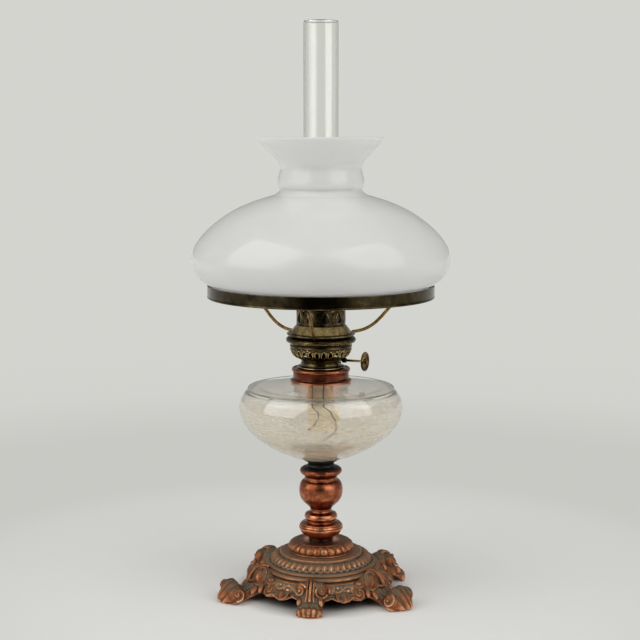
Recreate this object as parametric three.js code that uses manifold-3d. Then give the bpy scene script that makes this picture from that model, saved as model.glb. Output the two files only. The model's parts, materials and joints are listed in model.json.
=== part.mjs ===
// Kerosene table lamp: a cast, footed base, a turned stem on a tie rod, a blown glass font,
// a round-wick burner with a pierced air basket and chimney gallery, a three-armed shade
// holder, an opal glass shade and a tall clear chimney.
// Millimetres, +Z up. The origin lies on the table, under the lamp's axis.
import * as THREE from "three";
import { mergeVertices } from "three/addons/utils/BufferGeometryUtils.js";
import Module from "manifold-3d";

const wasm = await Module();
wasm.setup();

// Clearances
const restGap = 0.3; // between pieces that rest on or are soldered to each other
const slideGap = 0.4; // between pieces that slide or turn in each other
const overrun = 2; // how far a cutter runs past what it cuts

// Base casting
const baseHeight = 43.4; // table to the flat top of the casting
const domeTopRadius = 44;
const domeShoulderRadius = 58; // where the leaf band ends and the frieze starts
const domeShoulderHeight = 29;
const apronRadius = 75;
const apronHeight = 8.5; // table to the lowest tips of the apron's scrolls
const apronRise = 4; // how far the apron's edge climbs between its scrolls
const castWall = 4;
const leafCount = 30;
const leafDepth = 1.6;
const scrollFootReach = 118; // axis to the toe of a large scroll foot
const scrollFootWidth = 38;
const scrollFootHeight = 33;
const shellFootReach = 99; // axis to the toe of a small shell foot
const shellFootWidth = 33;
const shellFootHeight = 33.5;
const footRoot = 58; // axis to where a foot starts, inside the dome's wall
const scrollToeLobes = 4;
const shellToeLobes = 5;
const scrollVoluteRadius = 7.5;
const scrollVoluteReach = 98;
const shellVoluteRadius = 7.5;
const shellVoluteReach = 74;
const voluteStandOut = 1.6;
const cabochonReach = 68;
const cabochonRise = 27.5;
const cabochonLength = 19;
const cabochonWidth = 13;
const cabochonDepth = 5.5;
const cabochonTilt = 38; // degrees below level

// Petal ring, the stem and its tie rod
const petalRingRadius = 35;
const petalRingHeight = 11.3;
const petalCount = 26;
const petalDepth = 1.3;
const stemFootRadius = 23.5;
const stemFootHeight = 32.6;
const ballRadius = 23.3;
const ballHeight = 34.2;
const capRadius = 22.5;
const capHeight = 15;
const rodRadius = 4;
const nutHeight = 6.4;
const nutRadius = 7.5;
const washerRadius = 14;
const washerThickness = 2;
const rodStandOut = 2.5; // how far the rod shows past each nut

// Font and the cup and collar that hold it
const cupLipRadius = 20;
const cupNeckRadius = 13.2;
const cupDepth = 9; // how far the cup goes down inside the stem cap
const cupFlareHeight = 6.5;
const cupWall = 1.5;
const pegLength = 4.5; // glass stub under the font
const cementThickness = 1;
const fontRadius = 86.6;
const fontShoulderRadius = 76.5;
const fontHeight = 77; // underside of the bowl to the edge of the shoulder
const fontTopRise = 5.5; // how far the shoulder climbs to the neck
const fontWall = 3.5;
const fontNeckRadius = 26.4;
const fontNeckHeight = 11;
const fontNeckWall = 3.4;
const collarRadius = 29.7;
const collarFootRadius = 32.5;
const collarHeight = 14.2;
const collarWall = 1.4;
const threadRadius = 20;
const threadLength = 9;

// Burner
const sheet = 1; // thickness of the burner's spun brass
const burnerRimRadius = 23.8;
const burnerRimHeight = 3;
const burnerNeckRadius = 22.2;
const burnerNeckHeight = 6;
const basketRadius = 33;
const basketHeight = 17.5;
const lipRadius = 36.9;
const lipHeight = 8;
const basketHoleCount = 20;
const basketHoleRadius = 1.35;
const galleryFootRadius = 33;
const gallerySkirtHeight = 11.8;
const crownRadius = 25.8;
const crownHeight = 22;
const crownWindowCount = 10;
const crownWindowWidth = 8.4;
const crownWindowHeight = 13;
const crownVeeWidth = 5.6;
const crownVeeHeight = 5;
const crownSlitWidth = 1.2;
const crownSlitDepth = 5;
const wickInnerRadius = 9.5;
const wickThickness = 2.5;
const tubeWall = 0.9;
const wickTubeTop = 64; // burner seat to the rim where the flame burns
const wickTubeDrop = 6; // how far the wick tubes reach below the burner's seat
const wickBelowTube = 1.5; // the trimmed wick sits this far below the rim
const airDuctWidth = 11;
const airDuctHeight = 13;
const airDuctRise = 16; // burner seat to the duct's lower side
const wickTailWidth = 33;
const wickTailClearance = 14.5; // tail's end to the font's floor, with room to be wound down
const wickLift = 7; // the tail keeps to the tubes' width this far below them

// Wick raiser
const spindleRadius = 1.3;
const spindleRise = 6.2; // burner seat to the spindle
const spindleAngle = -14.5; // degrees from +X, seen from above
const spindleReach = 42; // chord's middle to the knob's inner face
const feedWheelRadius = 3.4;
const feedWheelThickness = 1.2;
const feedWheelSpacing = 8;
const feedWheelTeeth = 10;
const toothDepthShare = 0.22;
const knobRadius = 10.3;
const knobThickness = 3.2;
const bushRadius = 2.7;
const bushLength = 4;

// Chimney
const chimneyHeight = 312;
const chimneyWall = 1.8;
const chimneyBaseHeight = 22;
const chimneyWaistRadius = 15.5;
const chimneyWaistRise = 37;
const chimneyTubeRadius = 18;

// Shade and its holder
const hubHeight = 2;
const hubWidth = 2.6;
const armRadius = 1.75;
const armRise = 40.6; // hub to the underside of the ring's shelf
const ringRadius = 119.2;
const ringHeight = 12.4;
const ringWall = 1.2;
const ringShelfWidth = 13;
const rivetRadius = 2.6;
const rivetHeight = 1.4;
const rivetInset = 3.6; // shelf's inner edge to the rivet
const shadeSlack = 1.4; // between the shade's foot and the ring it stands in
const shadeSwell = 18.9; // how far the shade's belly stands out past its foot
const shadeHeight = 164;
const shadeNeckRadius = 45.2;
const shadeRimRadius = 66.3;
const shadeWall = 2.8;

// Facets
const coarse = 16;
const round = 20;
const fine = 32;

const degrees = Math.PI / 180;

// A point of an outline, as [radius, height].
const at = (radius, height) => new THREE.Vector2(radius, height);

// Places an outline that is written in shares of a radius and a height.
const scaled = (shares, radius, height) => shares.map(([r, z]) => at(r * radius, z * height));

// Turns the geometry of three.js into a solid for joining and cutting.
function solidOf(geometry) {
  const bare = new THREE.BufferGeometry().setAttribute("position", geometry.getAttribute("position"));
  if (geometry.index) bare.setIndex(geometry.index);
  const merged = mergeVertices(bare, 1e-4);
  const triVerts = new Uint32Array(merged.index.array);
  const vertProperties = merged.attributes.position.array;
  const solid = new wasm.Manifold(new wasm.Mesh({ numProp: 3, vertProperties, triVerts }));
  if (solid.volume() > 0) return solid;
  const turned = triVerts.slice().reverse();
  return new wasm.Manifold(new wasm.Mesh({ numProp: 3, vertProperties, triVerts: turned }));
}

// Turns a solid back into geometry.
function geometryOf(solid) {
  const mesh = solid.getMesh();
  const positions = new Float32Array(mesh.numVert * 3);
  for (let i = 0; i < mesh.numVert; i++) {
    const start = i * mesh.numProp;
    positions.set(mesh.vertProperties.subarray(start, start + 3), i * 3);
  }
  const geometry = new THREE.BufferGeometry();
  geometry.setAttribute("position", new THREE.BufferAttribute(positions, 3));
  geometry.setIndex(new THREE.BufferAttribute(new Uint32Array(mesh.triVerts), 1));
  geometry.computeVertexNormals();
  return geometry;
}

const joined = (solids) => solids.reduce((whole, next) => whole.add(next));
const cutBy = (solid, cutters) => cutters.reduce((whole, next) => whole.subtract(next), solid);

// Revolves a closed outline about the lamp's axis.
function revolved(outline, segments) {
  const closed = [...outline, outline[0].clone()];
  const geometry = new THREE.LatheGeometry(closed, segments);
  return geometry.rotateX(90 * degrees);
}

const turnedSolid = (outline, segments) => solidOf(revolved(outline, segments));

// A plain ring or tube between two radii and two heights.
const ringOutline = (inner, outer, low, high) => [
  at(inner, low),
  at(outer, low),
  at(outer, high),
  at(inner, high),
];

// A solid of revolution that reaches the axis: a rod, disc or cutter.
function rod(radius, low, high, segments) {
  const geometry = new THREE.CylinderGeometry(radius, radius, high - low, segments);
  return solidOf(geometry.rotateX(90 * degrees).translate(0, 0, (low + high) / 2));
}

// Follows an outer outline at a wall's thickness inside it.
function insetOutline(outline, wall) {
  const last = outline[outline.length - 1];
  return outline.map((point, i) => {
    const before = outline[Math.max(i - 1, 0)];
    const after = outline[Math.min(i + 1, outline.length - 1)];
    const along = after.clone().sub(before).normalize();
    const height = point.y + wall * along.x;
    return at(point.x - wall * along.y, THREE.MathUtils.clamp(height, outline[0].y, last.y));
  });
}

// A closed wall of even thickness under an outer outline that runs upwards.
const shellOutline = (outline, wall) => [...outline, ...insetOutline(outline, wall).reverse()];

// Skins a row of closed sections, each a list of points, and closes both ends.
function lofted(sections) {
  const count = sections[0].length;
  const positions = sections.flat().flatMap((p) => [p.x, p.y, p.z]);
  const index = [];
  for (let s = 0; s + 1 < sections.length; s++) {
    for (let i = 0; i < count; i++) {
      const j = (i + 1) % count;
      const a = s * count + i;
      const b = s * count + j;
      index.push(a, b, a + count, b, b + count, a + count);
    }
  }
  for (const [s, flip] of [[0, true], [sections.length - 1, false]]) {
    const flat = sections[s].map((p) => sectionPlane(p, sections[s]));
    for (const [a, b, c] of THREE.ShapeUtils.triangulateShape(flat, [])) {
      const corners = [a, b, c].map((i) => i + s * count);
      index.push(...(flip === isClockwise(flat) ? corners : corners.reverse()));
    }
  }
  const geometry = new THREE.BufferGeometry();
  geometry.setAttribute("position", new THREE.Float32BufferAttribute(positions, 3));
  geometry.setIndex(index);
  return geometry;
}

const isClockwise = (flat) => THREE.ShapeUtils.isClockWise(flat);

// A point of a flat section in the section's own two directions.
function sectionPlane(point, section) {
  const origin = section[0];
  const across = section[1].clone().sub(origin).normalize();
  const far = section[Math.floor(section.length / 2)].clone().sub(origin);
  const normal = across.clone().cross(far).normalize();
  const up = normal.cross(across);
  const offset = point.clone().sub(origin);
  return at(offset.dot(across), offset.dot(up));
}

// Materials
const finish = (color, roughness, metalness) =>
  new THREE.MeshStandardMaterial({ color, roughness, metalness });
const patinatedIron = finish(0x6b4a35, 0.5, 0.8);
const copperPlate = finish(0x9a5532, 0.32, 0.9);
const blackLacquer = finish(0x16120f, 0.45, 0.3);
const steel = finish(0x77756f, 0.4, 0.9);
const copperCollar = finish(0x8d4430, 0.3, 0.9);
const agedBrass = finish(0x8a6f3c, 0.35, 0.9);
const darkBrass = finish(0x2c2417, 0.4, 0.8);
const plaster = finish(0xcfc6b2, 0.9, 0);
const cotton = finish(0xc9b594, 0.95, 0);
const opalGlass = finish(0xf2f2ee, 0.12, 0);
const clearGlass = new THREE.MeshStandardMaterial({
  color: 0xe8ece6,
  roughness: 0.05,
  metalness: 0,
  transparent: true,
  opacity: 0.35,
});

function piece(name, solid, material) {
  const geometry = solid.isBufferGeometry ? solid : geometryOf(solid);
  const mesh = new THREE.Mesh(geometry, material);
  mesh.name = name;
  return mesh;
}

// Three directions, a third of a turn apart.
const thirds = [0, 1, 2].map((i) => (i * 360) / 3);
const shellFootAngle = -90; // degrees: the first shell foot points along -Y
const scrollFootAngle = shellFootAngle + 60;

// Base casting. The dome's flank below the shoulder, as shares of the way out and down.
const friezeShares = [
  [0.2, 0.08],
  [0.45, 0.5],
  [1, 1],
];
const leafStep = 2; // sections of the dome for one leaf
const sectorSteps = (leafCount / 6) * leafStep; // and from one foot to the next
const apronLiftShares = [0.6, 0.8, 1, 0.3, 0, 0.7, 0, 0.3, 1, 0.8]; // of apronRise
const apronFlareShares = [0, 0, -0.02, 0.03, 0.06, 0.02, 0.06, 0.03, -0.02, 0]; // of apronRadius

// One closed section of the hollow dome: its outside going down, its inside coming up.
function domeSection(step) {
  const sector = Math.round((step % sectorSteps) * (apronLiftShares.length / sectorSteps));
  const out = apronRadius * (1 + apronFlareShares[sector % apronLiftShares.length]);
  const edge = apronHeight + apronLiftShares[sector % apronLiftShares.length] * apronRise;
  const shoulder = at(domeShoulderRadius, domeShoulderHeight);
  const drop = at(out, edge).sub(shoulder);
  const frieze = friezeShares.map(([r, z]) => shoulder.clone().add(at(r * drop.x, z * drop.y)));
  const leafFoot = at(domeShoulderRadius - leafDepth * 2, domeShoulderHeight + leafDepth * 2);
  const leafTip = at(domeTopRadius + leafDepth * 1.5, baseHeight - leafDepth * 2);
  const swell = leafDepth * (step % leafStep ? 1.6 : 0.3);
  const leaf = leafFoot.clone().lerp(leafTip, 0.45).add(at(swell, swell));
  const bore = rodRadius + restGap;
  return [
    at(bore, baseHeight),
    at(domeTopRadius, baseHeight),
    leafTip,
    leaf,
    leafFoot,
    shoulder,
    ...frieze,
    at(out - castWall, edge),
    at(domeTopRadius - castWall, baseHeight - castWall),
    at(bore, baseHeight - castWall),
  ];
}

// Turns a flat section to its place round the axis.
function aboutAxis(section, turn) {
  return section.map((p) => new THREE.Vector3(p.x * Math.cos(turn), p.x * Math.sin(turn), p.y));
}

function dome() {
  const around = leafCount * leafStep;
  const start = shellFootAngle * degrees;
  const sections = [];
  for (let i = 0; i < around; i++) {
    sections.push(aboutAxis(domeSection(i), start + (i / around) * 360 * degrees));
  }
  return solidOf(hoop(sections));
}

// Skins sections that run all the way round and meet the first again.
function hoop(sections) {
  const count = sections[0].length;
  const positions = sections.flat().flatMap((p) => [p.x, p.y, p.z]);
  const index = [];
  sections.forEach((_, s) => {
    const next = (s + 1) % sections.length;
    for (let i = 0; i < count; i++) {
      const j = (i + 1) % count;
      const [a, b, c, d] = [s * count + i, s * count + j, next * count + i, next * count + j];
      index.push(a, b, c, b, d, c);
    }
  });
  const geometry = new THREE.BufferGeometry();
  geometry.setAttribute("position", new THREE.Float32BufferAttribute(positions, 3));
  geometry.setIndex(index);
  return geometry;
}

// Stations along a foot, as shares: how far from its root to its toe, its half width, its
// top and its underside, and how deep the grooves between its toe's lobes are.
const scrollFootShares = [
  [0, 1.05, 0.8, 0.5, 0],
  [0.1, 1.15, 0.98, 0.3, 0],
  [0.25, 1.02, 0.88, 0.2, 0],
  [0.4, 0.72, 0.56, 0.1, 0],
  [0.5, 0.62, 0.46, 0.02, 0.05],
  [0.62, 0.86, 0.62, 0, 0.1],
  [0.76, 1.14, 0.69, 0, 0.14],
  [0.89, 1.12, 0.54, 0, 0.16],
  [1, 0.6, 0.14, 0, 0.14],
];
const shellFootShares = [
  [0, 0.8, 0.72, 0.4, 0],
  [0.2, 0.92, 0.95, 0.28, 0],
  [0.4, 0.96, 1, 0.2, 0],
  [0.55, 0.8, 0.84, 0.14, 0.06],
  [0.68, 0.66, 0.58, 0.09, 0.08],
  [0.79, 0.7, 0.4, 0.05, 0.12],
  [0.9, 0.98, 0.43, 0.02, 0.14],
  [0.97, 0.98, 0.42, 0, 0.14],
  [1, 0.7, 0.2, 0, 0.12],
];

// One foot, pointing along +X: an arched section at each station, lobed towards the toe.
function footBody(shares, reach, width, height, lobes) {
  const arch = lobes * 2;
  const sections = shares.map(([along, half, top, bottom, groove]) => {
    const x = footRoot + along * (reach - footRoot);
    const points = [];
    for (let i = 0; i <= arch; i++) {
      const turn = (i / arch) * Math.PI;
      const swell = i % 2 ? 1 : 1 - groove;
      const y = (width / 2) * half * Math.cos(turn) * swell;
      const z = height * (bottom + (top - bottom) * Math.sin(turn) ** 0.75 * swell);
      points.push(new THREE.Vector3(x, y, z));
    }
    return points;
  });
  return solidOf(lofted(sections));
}

// Both eyes of a scroll, one on each flank of a foot, as one turned drum with dished ends.
function volutes(radius, width, reach, rise) {
  const end = width / 2 + voluteStandOut;
  const dish = voluteStandOut * 0.9;
  const side = [at(0, end), at(radius * 0.3, end), at(radius * 0.5, end - dish), at(radius, end)];
  const waist = at(radius * 0.55, 0);
  const outline = [...side.map((p) => at(p.x, -p.y)), waist, ...side.toReversed()];
  return solidOf(new THREE.LatheGeometry(outline, 8).translate(reach, 0, rise));
}

const turnedAbout = (solid, angle) => solid.rotate([0, 0, angle]);

function scrollFoot() {
  const stone = new THREE.SphereGeometry(1, 8, 6)
    .scale(cabochonLength / 2, cabochonWidth / 2, cabochonDepth)
    .rotateY(cabochonTilt * degrees)
    .translate(cabochonReach, 0, cabochonRise);
  return joined([
    footBody(scrollFootShares, scrollFootReach, scrollFootWidth, scrollFootHeight, scrollToeLobes),
    volutes(scrollVoluteRadius, scrollFootWidth * 0.84, scrollVoluteReach, scrollVoluteRadius * 1.5),
    solidOf(stone),
  ]);
}

function shellFoot() {
  const rise = shellFootHeight - shellVoluteRadius * 1.2;
  return joined([
    footBody(shellFootShares, shellFootReach, shellFootWidth, shellFootHeight, shellToeLobes),
    volutes(shellVoluteRadius, shellFootWidth * 0.84, shellVoluteReach, rise),
  ]);
}

function baseCasting() {
  const feet = thirds.flatMap((turn) => [
    turnedAbout(scrollFoot(), scrollFootAngle + turn),
    turnedAbout(shellFoot(), shellFootAngle + turn),
  ]);
  return joined([dome(), ...feet]);
}

// Stack of heights up the stem
const petalRingSeat = baseHeight + restGap;
const stemFootSeat = petalRingSeat + petalRingHeight + restGap;
const ballSeat = stemFootSeat + stemFootHeight + restGap;
const capSeat = ballSeat + ballHeight + restGap;
const cupSeat = capSeat + capHeight - cupDepth;

// The petal ring bulges outwards in rounded petals under a flat top.
const petalShares = [
  [0.98, 0],
  [0.95, 0.18],
  [1, 0.4],
  [0.99, 0.64],
  [0.88, 0.9],
  [0.76, 1],
];
function petalRing() {
  const around = petalCount * 2;
  const bore = rodRadius + restGap;
  const sections = [];
  for (let i = 0; i < around; i++) {
    const dip = i % 2 ? 0 : petalDepth;
    const ring = petalShares.map(([r, z]) => {
      const onPetal = Math.max(0, Math.sin((z - 0.2) * 225 * degrees));
      return at(r * petalRingRadius - dip * onPetal, z * petalRingHeight);
    });
    const closed = [at(bore, 0), ...ring, at(bore, petalRingHeight)];
    sections.push(aboutAxis(closed, (i / around) * 360 * degrees));
  }
  return solidOf(hoop(sections));
}

const stemFootShares = [
  [0.57, 0],
  [0.57, 0.09],
  [0.78, 0.13],
  [0.93, 0.24],
  [1, 0.37],
  [0.95, 0.46],
  [0.88, 0.5],
  [0.78, 0.6],
  [0.71, 0.65],
  [0.76, 0.76],
  [0.7, 0.87],
  [0.5, 0.93],
  [0.49, 1],
];
const ballShares = [
  [0.49, 0],
  [0.6, 0.12],
  [0.82, 0.26],
  [0.96, 0.44],
  [1, 0.62],
  [0.97, 0.8],
  [0.86, 0.92],
  [0.76, 0.95],
  [0.76, 1],
];
const capShares = [
  [0.76, 0],
  [0.8, 0.14],
  [0.92, 0.3],
  [1, 0.46],
  [0.98, 0.58],
  [0.8, 0.8],
  [0.62, 1],
];

// A turned stem piece: its shares give the outside, and the rod runs through it.
function stemPiece(shares, radius, height) {
  const outline = scaled(shares, radius, height);
  const bore = rodRadius + restGap;
  return turnedSolid([at(bore, 0), ...outline, at(bore, height)], coarse);
}

// The cap is bored wider at its top, where the font's cup goes down into it.
function stemCap() {
  const body = stemPiece(capShares, capRadius, capHeight);
  const socket = rod(cupNeckRadius + restGap, capHeight - cupDepth - restGap, capHeight + overrun, coarse);
  return body.subtract(socket);
}

function hexNut() {
  const body = new THREE.CylinderGeometry(nutRadius, nutRadius, nutHeight, 6)
    .rotateX(90 * degrees)
    .translate(0, 0, nutHeight / 2);
  return solidOf(body).subtract(rod(rodRadius + restGap / 2, -overrun, nutHeight + overrun, coarse));
}

// The cup: a tapered, lipped socket that the glass stub is cemented into.
function fontCup() {
  const top = cupDepth + cupFlareHeight;
  const outline = [
    at(rodRadius + restGap, 0),
    at(cupNeckRadius, 0),
    at(cupNeckRadius, cupDepth + 0.35 * cupFlareHeight),
    at((cupNeckRadius + cupLipRadius) / 2, cupDepth + 0.75 * cupFlareHeight),
    at(cupLipRadius, top),
    at(cupLipRadius - cupWall, top),
    at((cupNeckRadius + cupLipRadius) / 2 - cupWall, cupDepth + 0.75 * cupFlareHeight + cupWall / 2),
    at(cupNeckRadius - cupWall, cupDepth + 0.35 * cupFlareHeight + cupWall / 2),
    at(cupNeckRadius - cupWall, cupWall),
    at(rodRadius + restGap, cupWall),
  ];
  return turnedSolid(outline, coarse);
}

// Font
const fontSeat = cupSeat + cupDepth + cupFlareHeight - restGap;
const fontShares = [
  [0.26, 0.006],
  [0.42, 0.055],
  [0.64, 0.19],
  [0.84, 0.365],
  [0.955, 0.54],
  [1, 0.725],
  [0.96, 0.89],
];
const pegRadius = cupNeckRadius - cupWall - cementThickness - restGap * 2;

// The bowl's outside, from its flat bottom to the edge of the shoulder.
const bowlOutside = () => [
  ...scaled(fontShares, fontRadius, fontHeight),
  at(fontShoulderRadius, fontHeight),
];

const bowlInside = insetOutline(bowlOutside(), fontWall).filter((_, i) => i % 2 === 1);
const fontFloor = bowlInside[0].y;

// The font: a stub below, the bowl, a nearly flat shoulder and a neck, blown in one.
function fontBowl() {
  const neckFoot = fontHeight + fontTopRise;
  const top = neckFoot + fontNeckHeight;
  const bore = fontNeckRadius - fontNeckWall;
  const outline = [
    at(0, -pegLength),
    at(pegRadius, -pegLength),
    at(pegRadius, 0),
    ...bowlOutside(),
    at(fontNeckRadius + fontWall, neckFoot),
    at(fontNeckRadius, neckFoot + fontWall / 4),
    at(fontNeckRadius, top),
    at(bore, top),
    at(bore, neckFoot - fontWall),
    ...bowlInside.toReversed(),
    at(0, fontFloor),
  ];
  return turnedSolid(outline, fine);
}

// Plaster between the stub and the cup, and between the neck and the collar.
const fontCement = () =>
  turnedSolid(
    ringOutline(pegRadius + restGap, pegRadius + restGap + cementThickness, -pegLength, -restGap),
    coarse,
  );
const fontNeckSeat = fontSeat + fontHeight + fontTopRise;
const collarSeat = fontNeckSeat + fontWall / 4 + restGap;

function collarCement() {
  const inner = fontNeckRadius + restGap;
  const outer = collarRadius - collarWall - restGap * 2;
  return turnedSolid(ringOutline(inner, outer, restGap, collarHeight - collarWall - restGap), fine);
}

// Collar: a skirt over the glass neck, a flat top and a threaded sleeve inside.
function fontCollar() {
  const sleeveInner = threadRadius + restGap;
  const ceiling = collarHeight - collarWall;
  const outline = [
    at(collarRadius - collarWall, 0),
    at(collarFootRadius, 0),
    at(collarFootRadius, 0.12 * collarHeight),
    at(collarRadius, 0.3 * collarHeight),
    at(collarRadius, 0.82 * collarHeight),
    at(collarRadius + collarWall * 0.7, 0.92 * collarHeight),
    at(collarRadius + collarWall * 0.3, collarHeight + collarWall * 0.3),
    at(collarRadius - collarWall, collarHeight),
    at(sleeveInner, collarHeight),
    at(sleeveInner, collarHeight - threadLength),
    at(sleeveInner + collarWall, collarHeight - threadLength),
    at(sleeveInner + collarWall, ceiling),
    at(collarRadius - collarWall, ceiling),
  ];
  return turnedSolid(outline, round);
}

// Burner. Its own heights count from its seat on the collar.
const burnerSeat = collarSeat + collarHeight + restGap;
const neckTop = burnerRimHeight + burnerNeckHeight;
const basketTop = neckTop + basketHeight;
const lipTop = basketTop + lipHeight;
const wickOuterRadius = wickInnerRadius + wickThickness;
const draftTubeRadius = wickInnerRadius - slideGap;
const outerTubeRadius = wickOuterRadius + slideGap + tubeWall;
const chordOffset = feedWheelRadius + slideGap + Math.sqrt(wickOuterRadius ** 2 - (feedWheelSpacing / 2) ** 2);

// The spindle's own frame: +X runs out along the spindle and the chord lies on its +Y side.
function alongSpindle(solid) {
  return solid.translate([0, chordOffset, spindleRise]).rotate([0, 0, spindleAngle]);
}

function spindleHole(radius) {
  const cutter = new THREE.CylinderGeometry(radius, radius, burnerNeckRadius + overrun, coarse / 2)
    .rotateZ(90 * degrees)
    .translate((burnerNeckRadius + overrun) / 2, 0, 0);
  return alongSpindle(solidOf(cutter));
}

// Threaded sleeve, rim and neck in one spinning, with a floor that holds the wick tubes.
function burnerBase() {
  const floorTop = -restGap;
  const outline = [
    at(outerTubeRadius + restGap, floorTop - sheet),
    at(threadRadius - sheet, floorTop - sheet),
    at(threadRadius - sheet, restGap - threadLength),
    at(threadRadius, restGap - threadLength),
    at(threadRadius, 0),
    at(burnerRimRadius, 0),
    at(burnerRimRadius, burnerRimHeight - sheet / 2),
    at(burnerNeckRadius, burnerRimHeight),
    at(burnerNeckRadius, neckTop),
    at(burnerNeckRadius - sheet, neckTop),
    at(burnerNeckRadius - sheet, floorTop),
    at(outerTubeRadius + restGap, floorTop),
  ];
  return turnedSolid(outline, round).subtract(spindleHole(spindleRadius + slideGap));
}

const basketShares = [
  [0.685, 0],
  [0.72, 0.1],
  [0.83, 0.28],
  [0.94, 0.52],
  [1, 0.86],
  [1, 1],
];

// Rows of lozenge holes: [radius, rise, height] as shares, and the row's shift in pitches.
const basketRows = [
  [0.87, 0.4, 1.4, 0.5],
  [0.97, 0.67, 1, 0.5],
];

// One lozenge hole, cut radially at its share of the basket's radius and height.
function basketHole(radiusShare, riseShare, heightShare, turn) {
  const depth = sheet * 6;
  const hole = new THREE.CylinderGeometry(basketHoleRadius, basketHoleRadius, depth, 4)
    .scale(1, 1, heightShare)
    .rotateZ(90 * degrees)
    .translate(radiusShare * basketRadius, 0, riseShare * basketHeight);
  return turnedAbout(solidOf(hole), turn);
}

// Basket: a pierced bowl that ends in a wide rolled lip.
function airBasket() {
  const bowl = scaled(basketShares, basketRadius, basketHeight);
  const lip = [
    at(lipRadius - sheet, basketHeight + 0.3 * lipHeight),
    at(lipRadius, basketHeight + 0.62 * lipHeight),
    at(lipRadius - sheet, basketHeight + lipHeight),
  ];
  const outline = [...bowl, ...lip];
  const mouth = at(lipRadius - sheet * 3, basketHeight + lipHeight);
  const wall = turnedSolid([...outline, mouth, ...insetOutline(bowl, sheet).reverse()], basketHoleCount);
  const cutters = basketRows.flatMap(([radiusShare, riseShare, heightShare, shift]) => {
    const turns = Array.from({ length: basketHoleCount }, (_, i) => (i + shift) / basketHoleCount);
    return turns.map((turn) => basketHole(radiusShare, riseShare, heightShare, turn * 360));
  });
  return cutBy(wall, cutters);
}

// Outer wick tube, with two windows where the feed wheels reach the wick.
function outerWickTube() {
  const tube = turnedSolid(
    ringOutline(outerTubeRadius - tubeWall, outerTubeRadius, -wickTubeDrop, wickTubeTop),
    round,
  );
  const windows = [-0.5, 0.5].map((side) => {
    const opening = new THREE.BoxGeometry(
      feedWheelThickness + slideGap * 2,
      feedWheelRadius * 2,
      (feedWheelRadius + slideGap) * 2,
    ).translate(side * feedWheelSpacing, 0, 0);
    return alongSpindle(solidOf(opening));
  });
  return cutBy(tube, [...windows, airDuct(slideGap, outerTubeRadius * 2)]);
}

// The air duct's outside, grown by a gap, as a block on the side away from the spindle.
function airDuct(gap, length) {
  const block = new THREE.BoxGeometry(airDuctWidth + gap * 2, length, airDuctHeight + gap * 2)
    .translate(0, -length / 2, airDuctRise + airDuctHeight / 2)
    .rotateZ(spindleAngle * degrees);
  return solidOf(block);
}

// Draft tube inside the wick, fed by a duct that crosses the wick's open side.
function draftTube() {
  const tube = rod(draftTubeRadius, airDuctRise - tubeWall, wickTubeTop, round);
  const duct = airDuct(0, outerTubeRadius + sheet);
  const bore = rod(draftTubeRadius - tubeWall, airDuctRise + tubeWall, wickTubeTop + overrun, round);
  const passage = airDuct(-tubeWall, outerTubeRadius + sheet + overrun);
  return cutBy(tube.add(duct), [bore, passage]);
}

// Wick: a band round the draft tube, open at the duct, whose tail hangs in the font.
const wickStations = 9;
function wick() {
  const turn = (wickInnerRadius + wickThickness / 2) * 2 * Math.PI;
  const top = wickTubeTop - wickBelowTube;
  const band = turnedSolid(
    ringOutline(wickInnerRadius, wickOuterRadius, -wickTubeDrop, top),
    round,
  );
  const travel = airDuctHeight;
  const slotTop = airDuctRise + airDuctHeight + travel;
  const slot = new THREE.BoxGeometry(airDuctWidth + slideGap * 4, turn, slotTop + wickTubeDrop + overrun)
    .translate(0, -turn / 2, (slotTop - wickTubeDrop - overrun) / 2)
    .rotateZ(spindleAngle * degrees);
  const sections = [];
  const middle = wickInnerRadius + wickThickness / 2;
  const bottom = fontSeat + fontFloor + wickTailClearance - burnerSeat;
  const spread = wickTubeDrop + wickLift;
  for (let s = 0; s <= wickStations; s++) {
    const share = Math.max(0, s - 1) / (wickStations - 1);
    const eased = Math.min(1, share * 1.8);
    const halfChord = middle + (wickTailWidth / 2 - middle) * eased;
    const halfAngle = (90 + 35 * (1 - eased) - 62 * eased) * degrees;
    const radius = halfChord / Math.sin(Math.min(halfAngle, 90 * degrees));
    const height = s ? -spread - share * (-spread - bottom) : overrun - wickTubeDrop;
    sections.push(wickSection(radius, halfAngle, height, middle));
  }
  return cutBy(band, [solidOf(slot)]).add(solidOf(lofted(sections)));
}

// One level section of the tail: a bent strip whose back stays on the band's line.
function wickSection(radius, halfAngle, height, middle) {
  const steps = 8;
  const inner = [];
  const outer = [];
  for (let i = 0; i <= steps; i++) {
    const turn = 90 * degrees + halfAngle * (1 - (2 * i) / steps);
    const shift = middle - radius;
    for (const [list, r] of [[outer, radius + wickThickness / 2], [inner, radius - wickThickness / 2]]) {
      const point = new THREE.Vector3(r * Math.cos(turn), r * Math.sin(turn) + shift, height);
      list.push(point.applyAxisAngle(new THREE.Vector3(0, 0, 1), spindleAngle * degrees));
    }
  }
  return [...outer, ...inner.reverse()];
}

// Wick raiser
function spindle() {
  const inner = -(feedWheelSpacing / 2 + feedWheelThickness * 2);
  const shaft = new THREE.CylinderGeometry(spindleRadius, spindleRadius, spindleReach - inner, coarse / 2)
    .rotateZ(90 * degrees)
    .translate((spindleReach + inner) / 2, 0, 0);
  return alongSpindle(solidOf(shaft));
}

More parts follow.
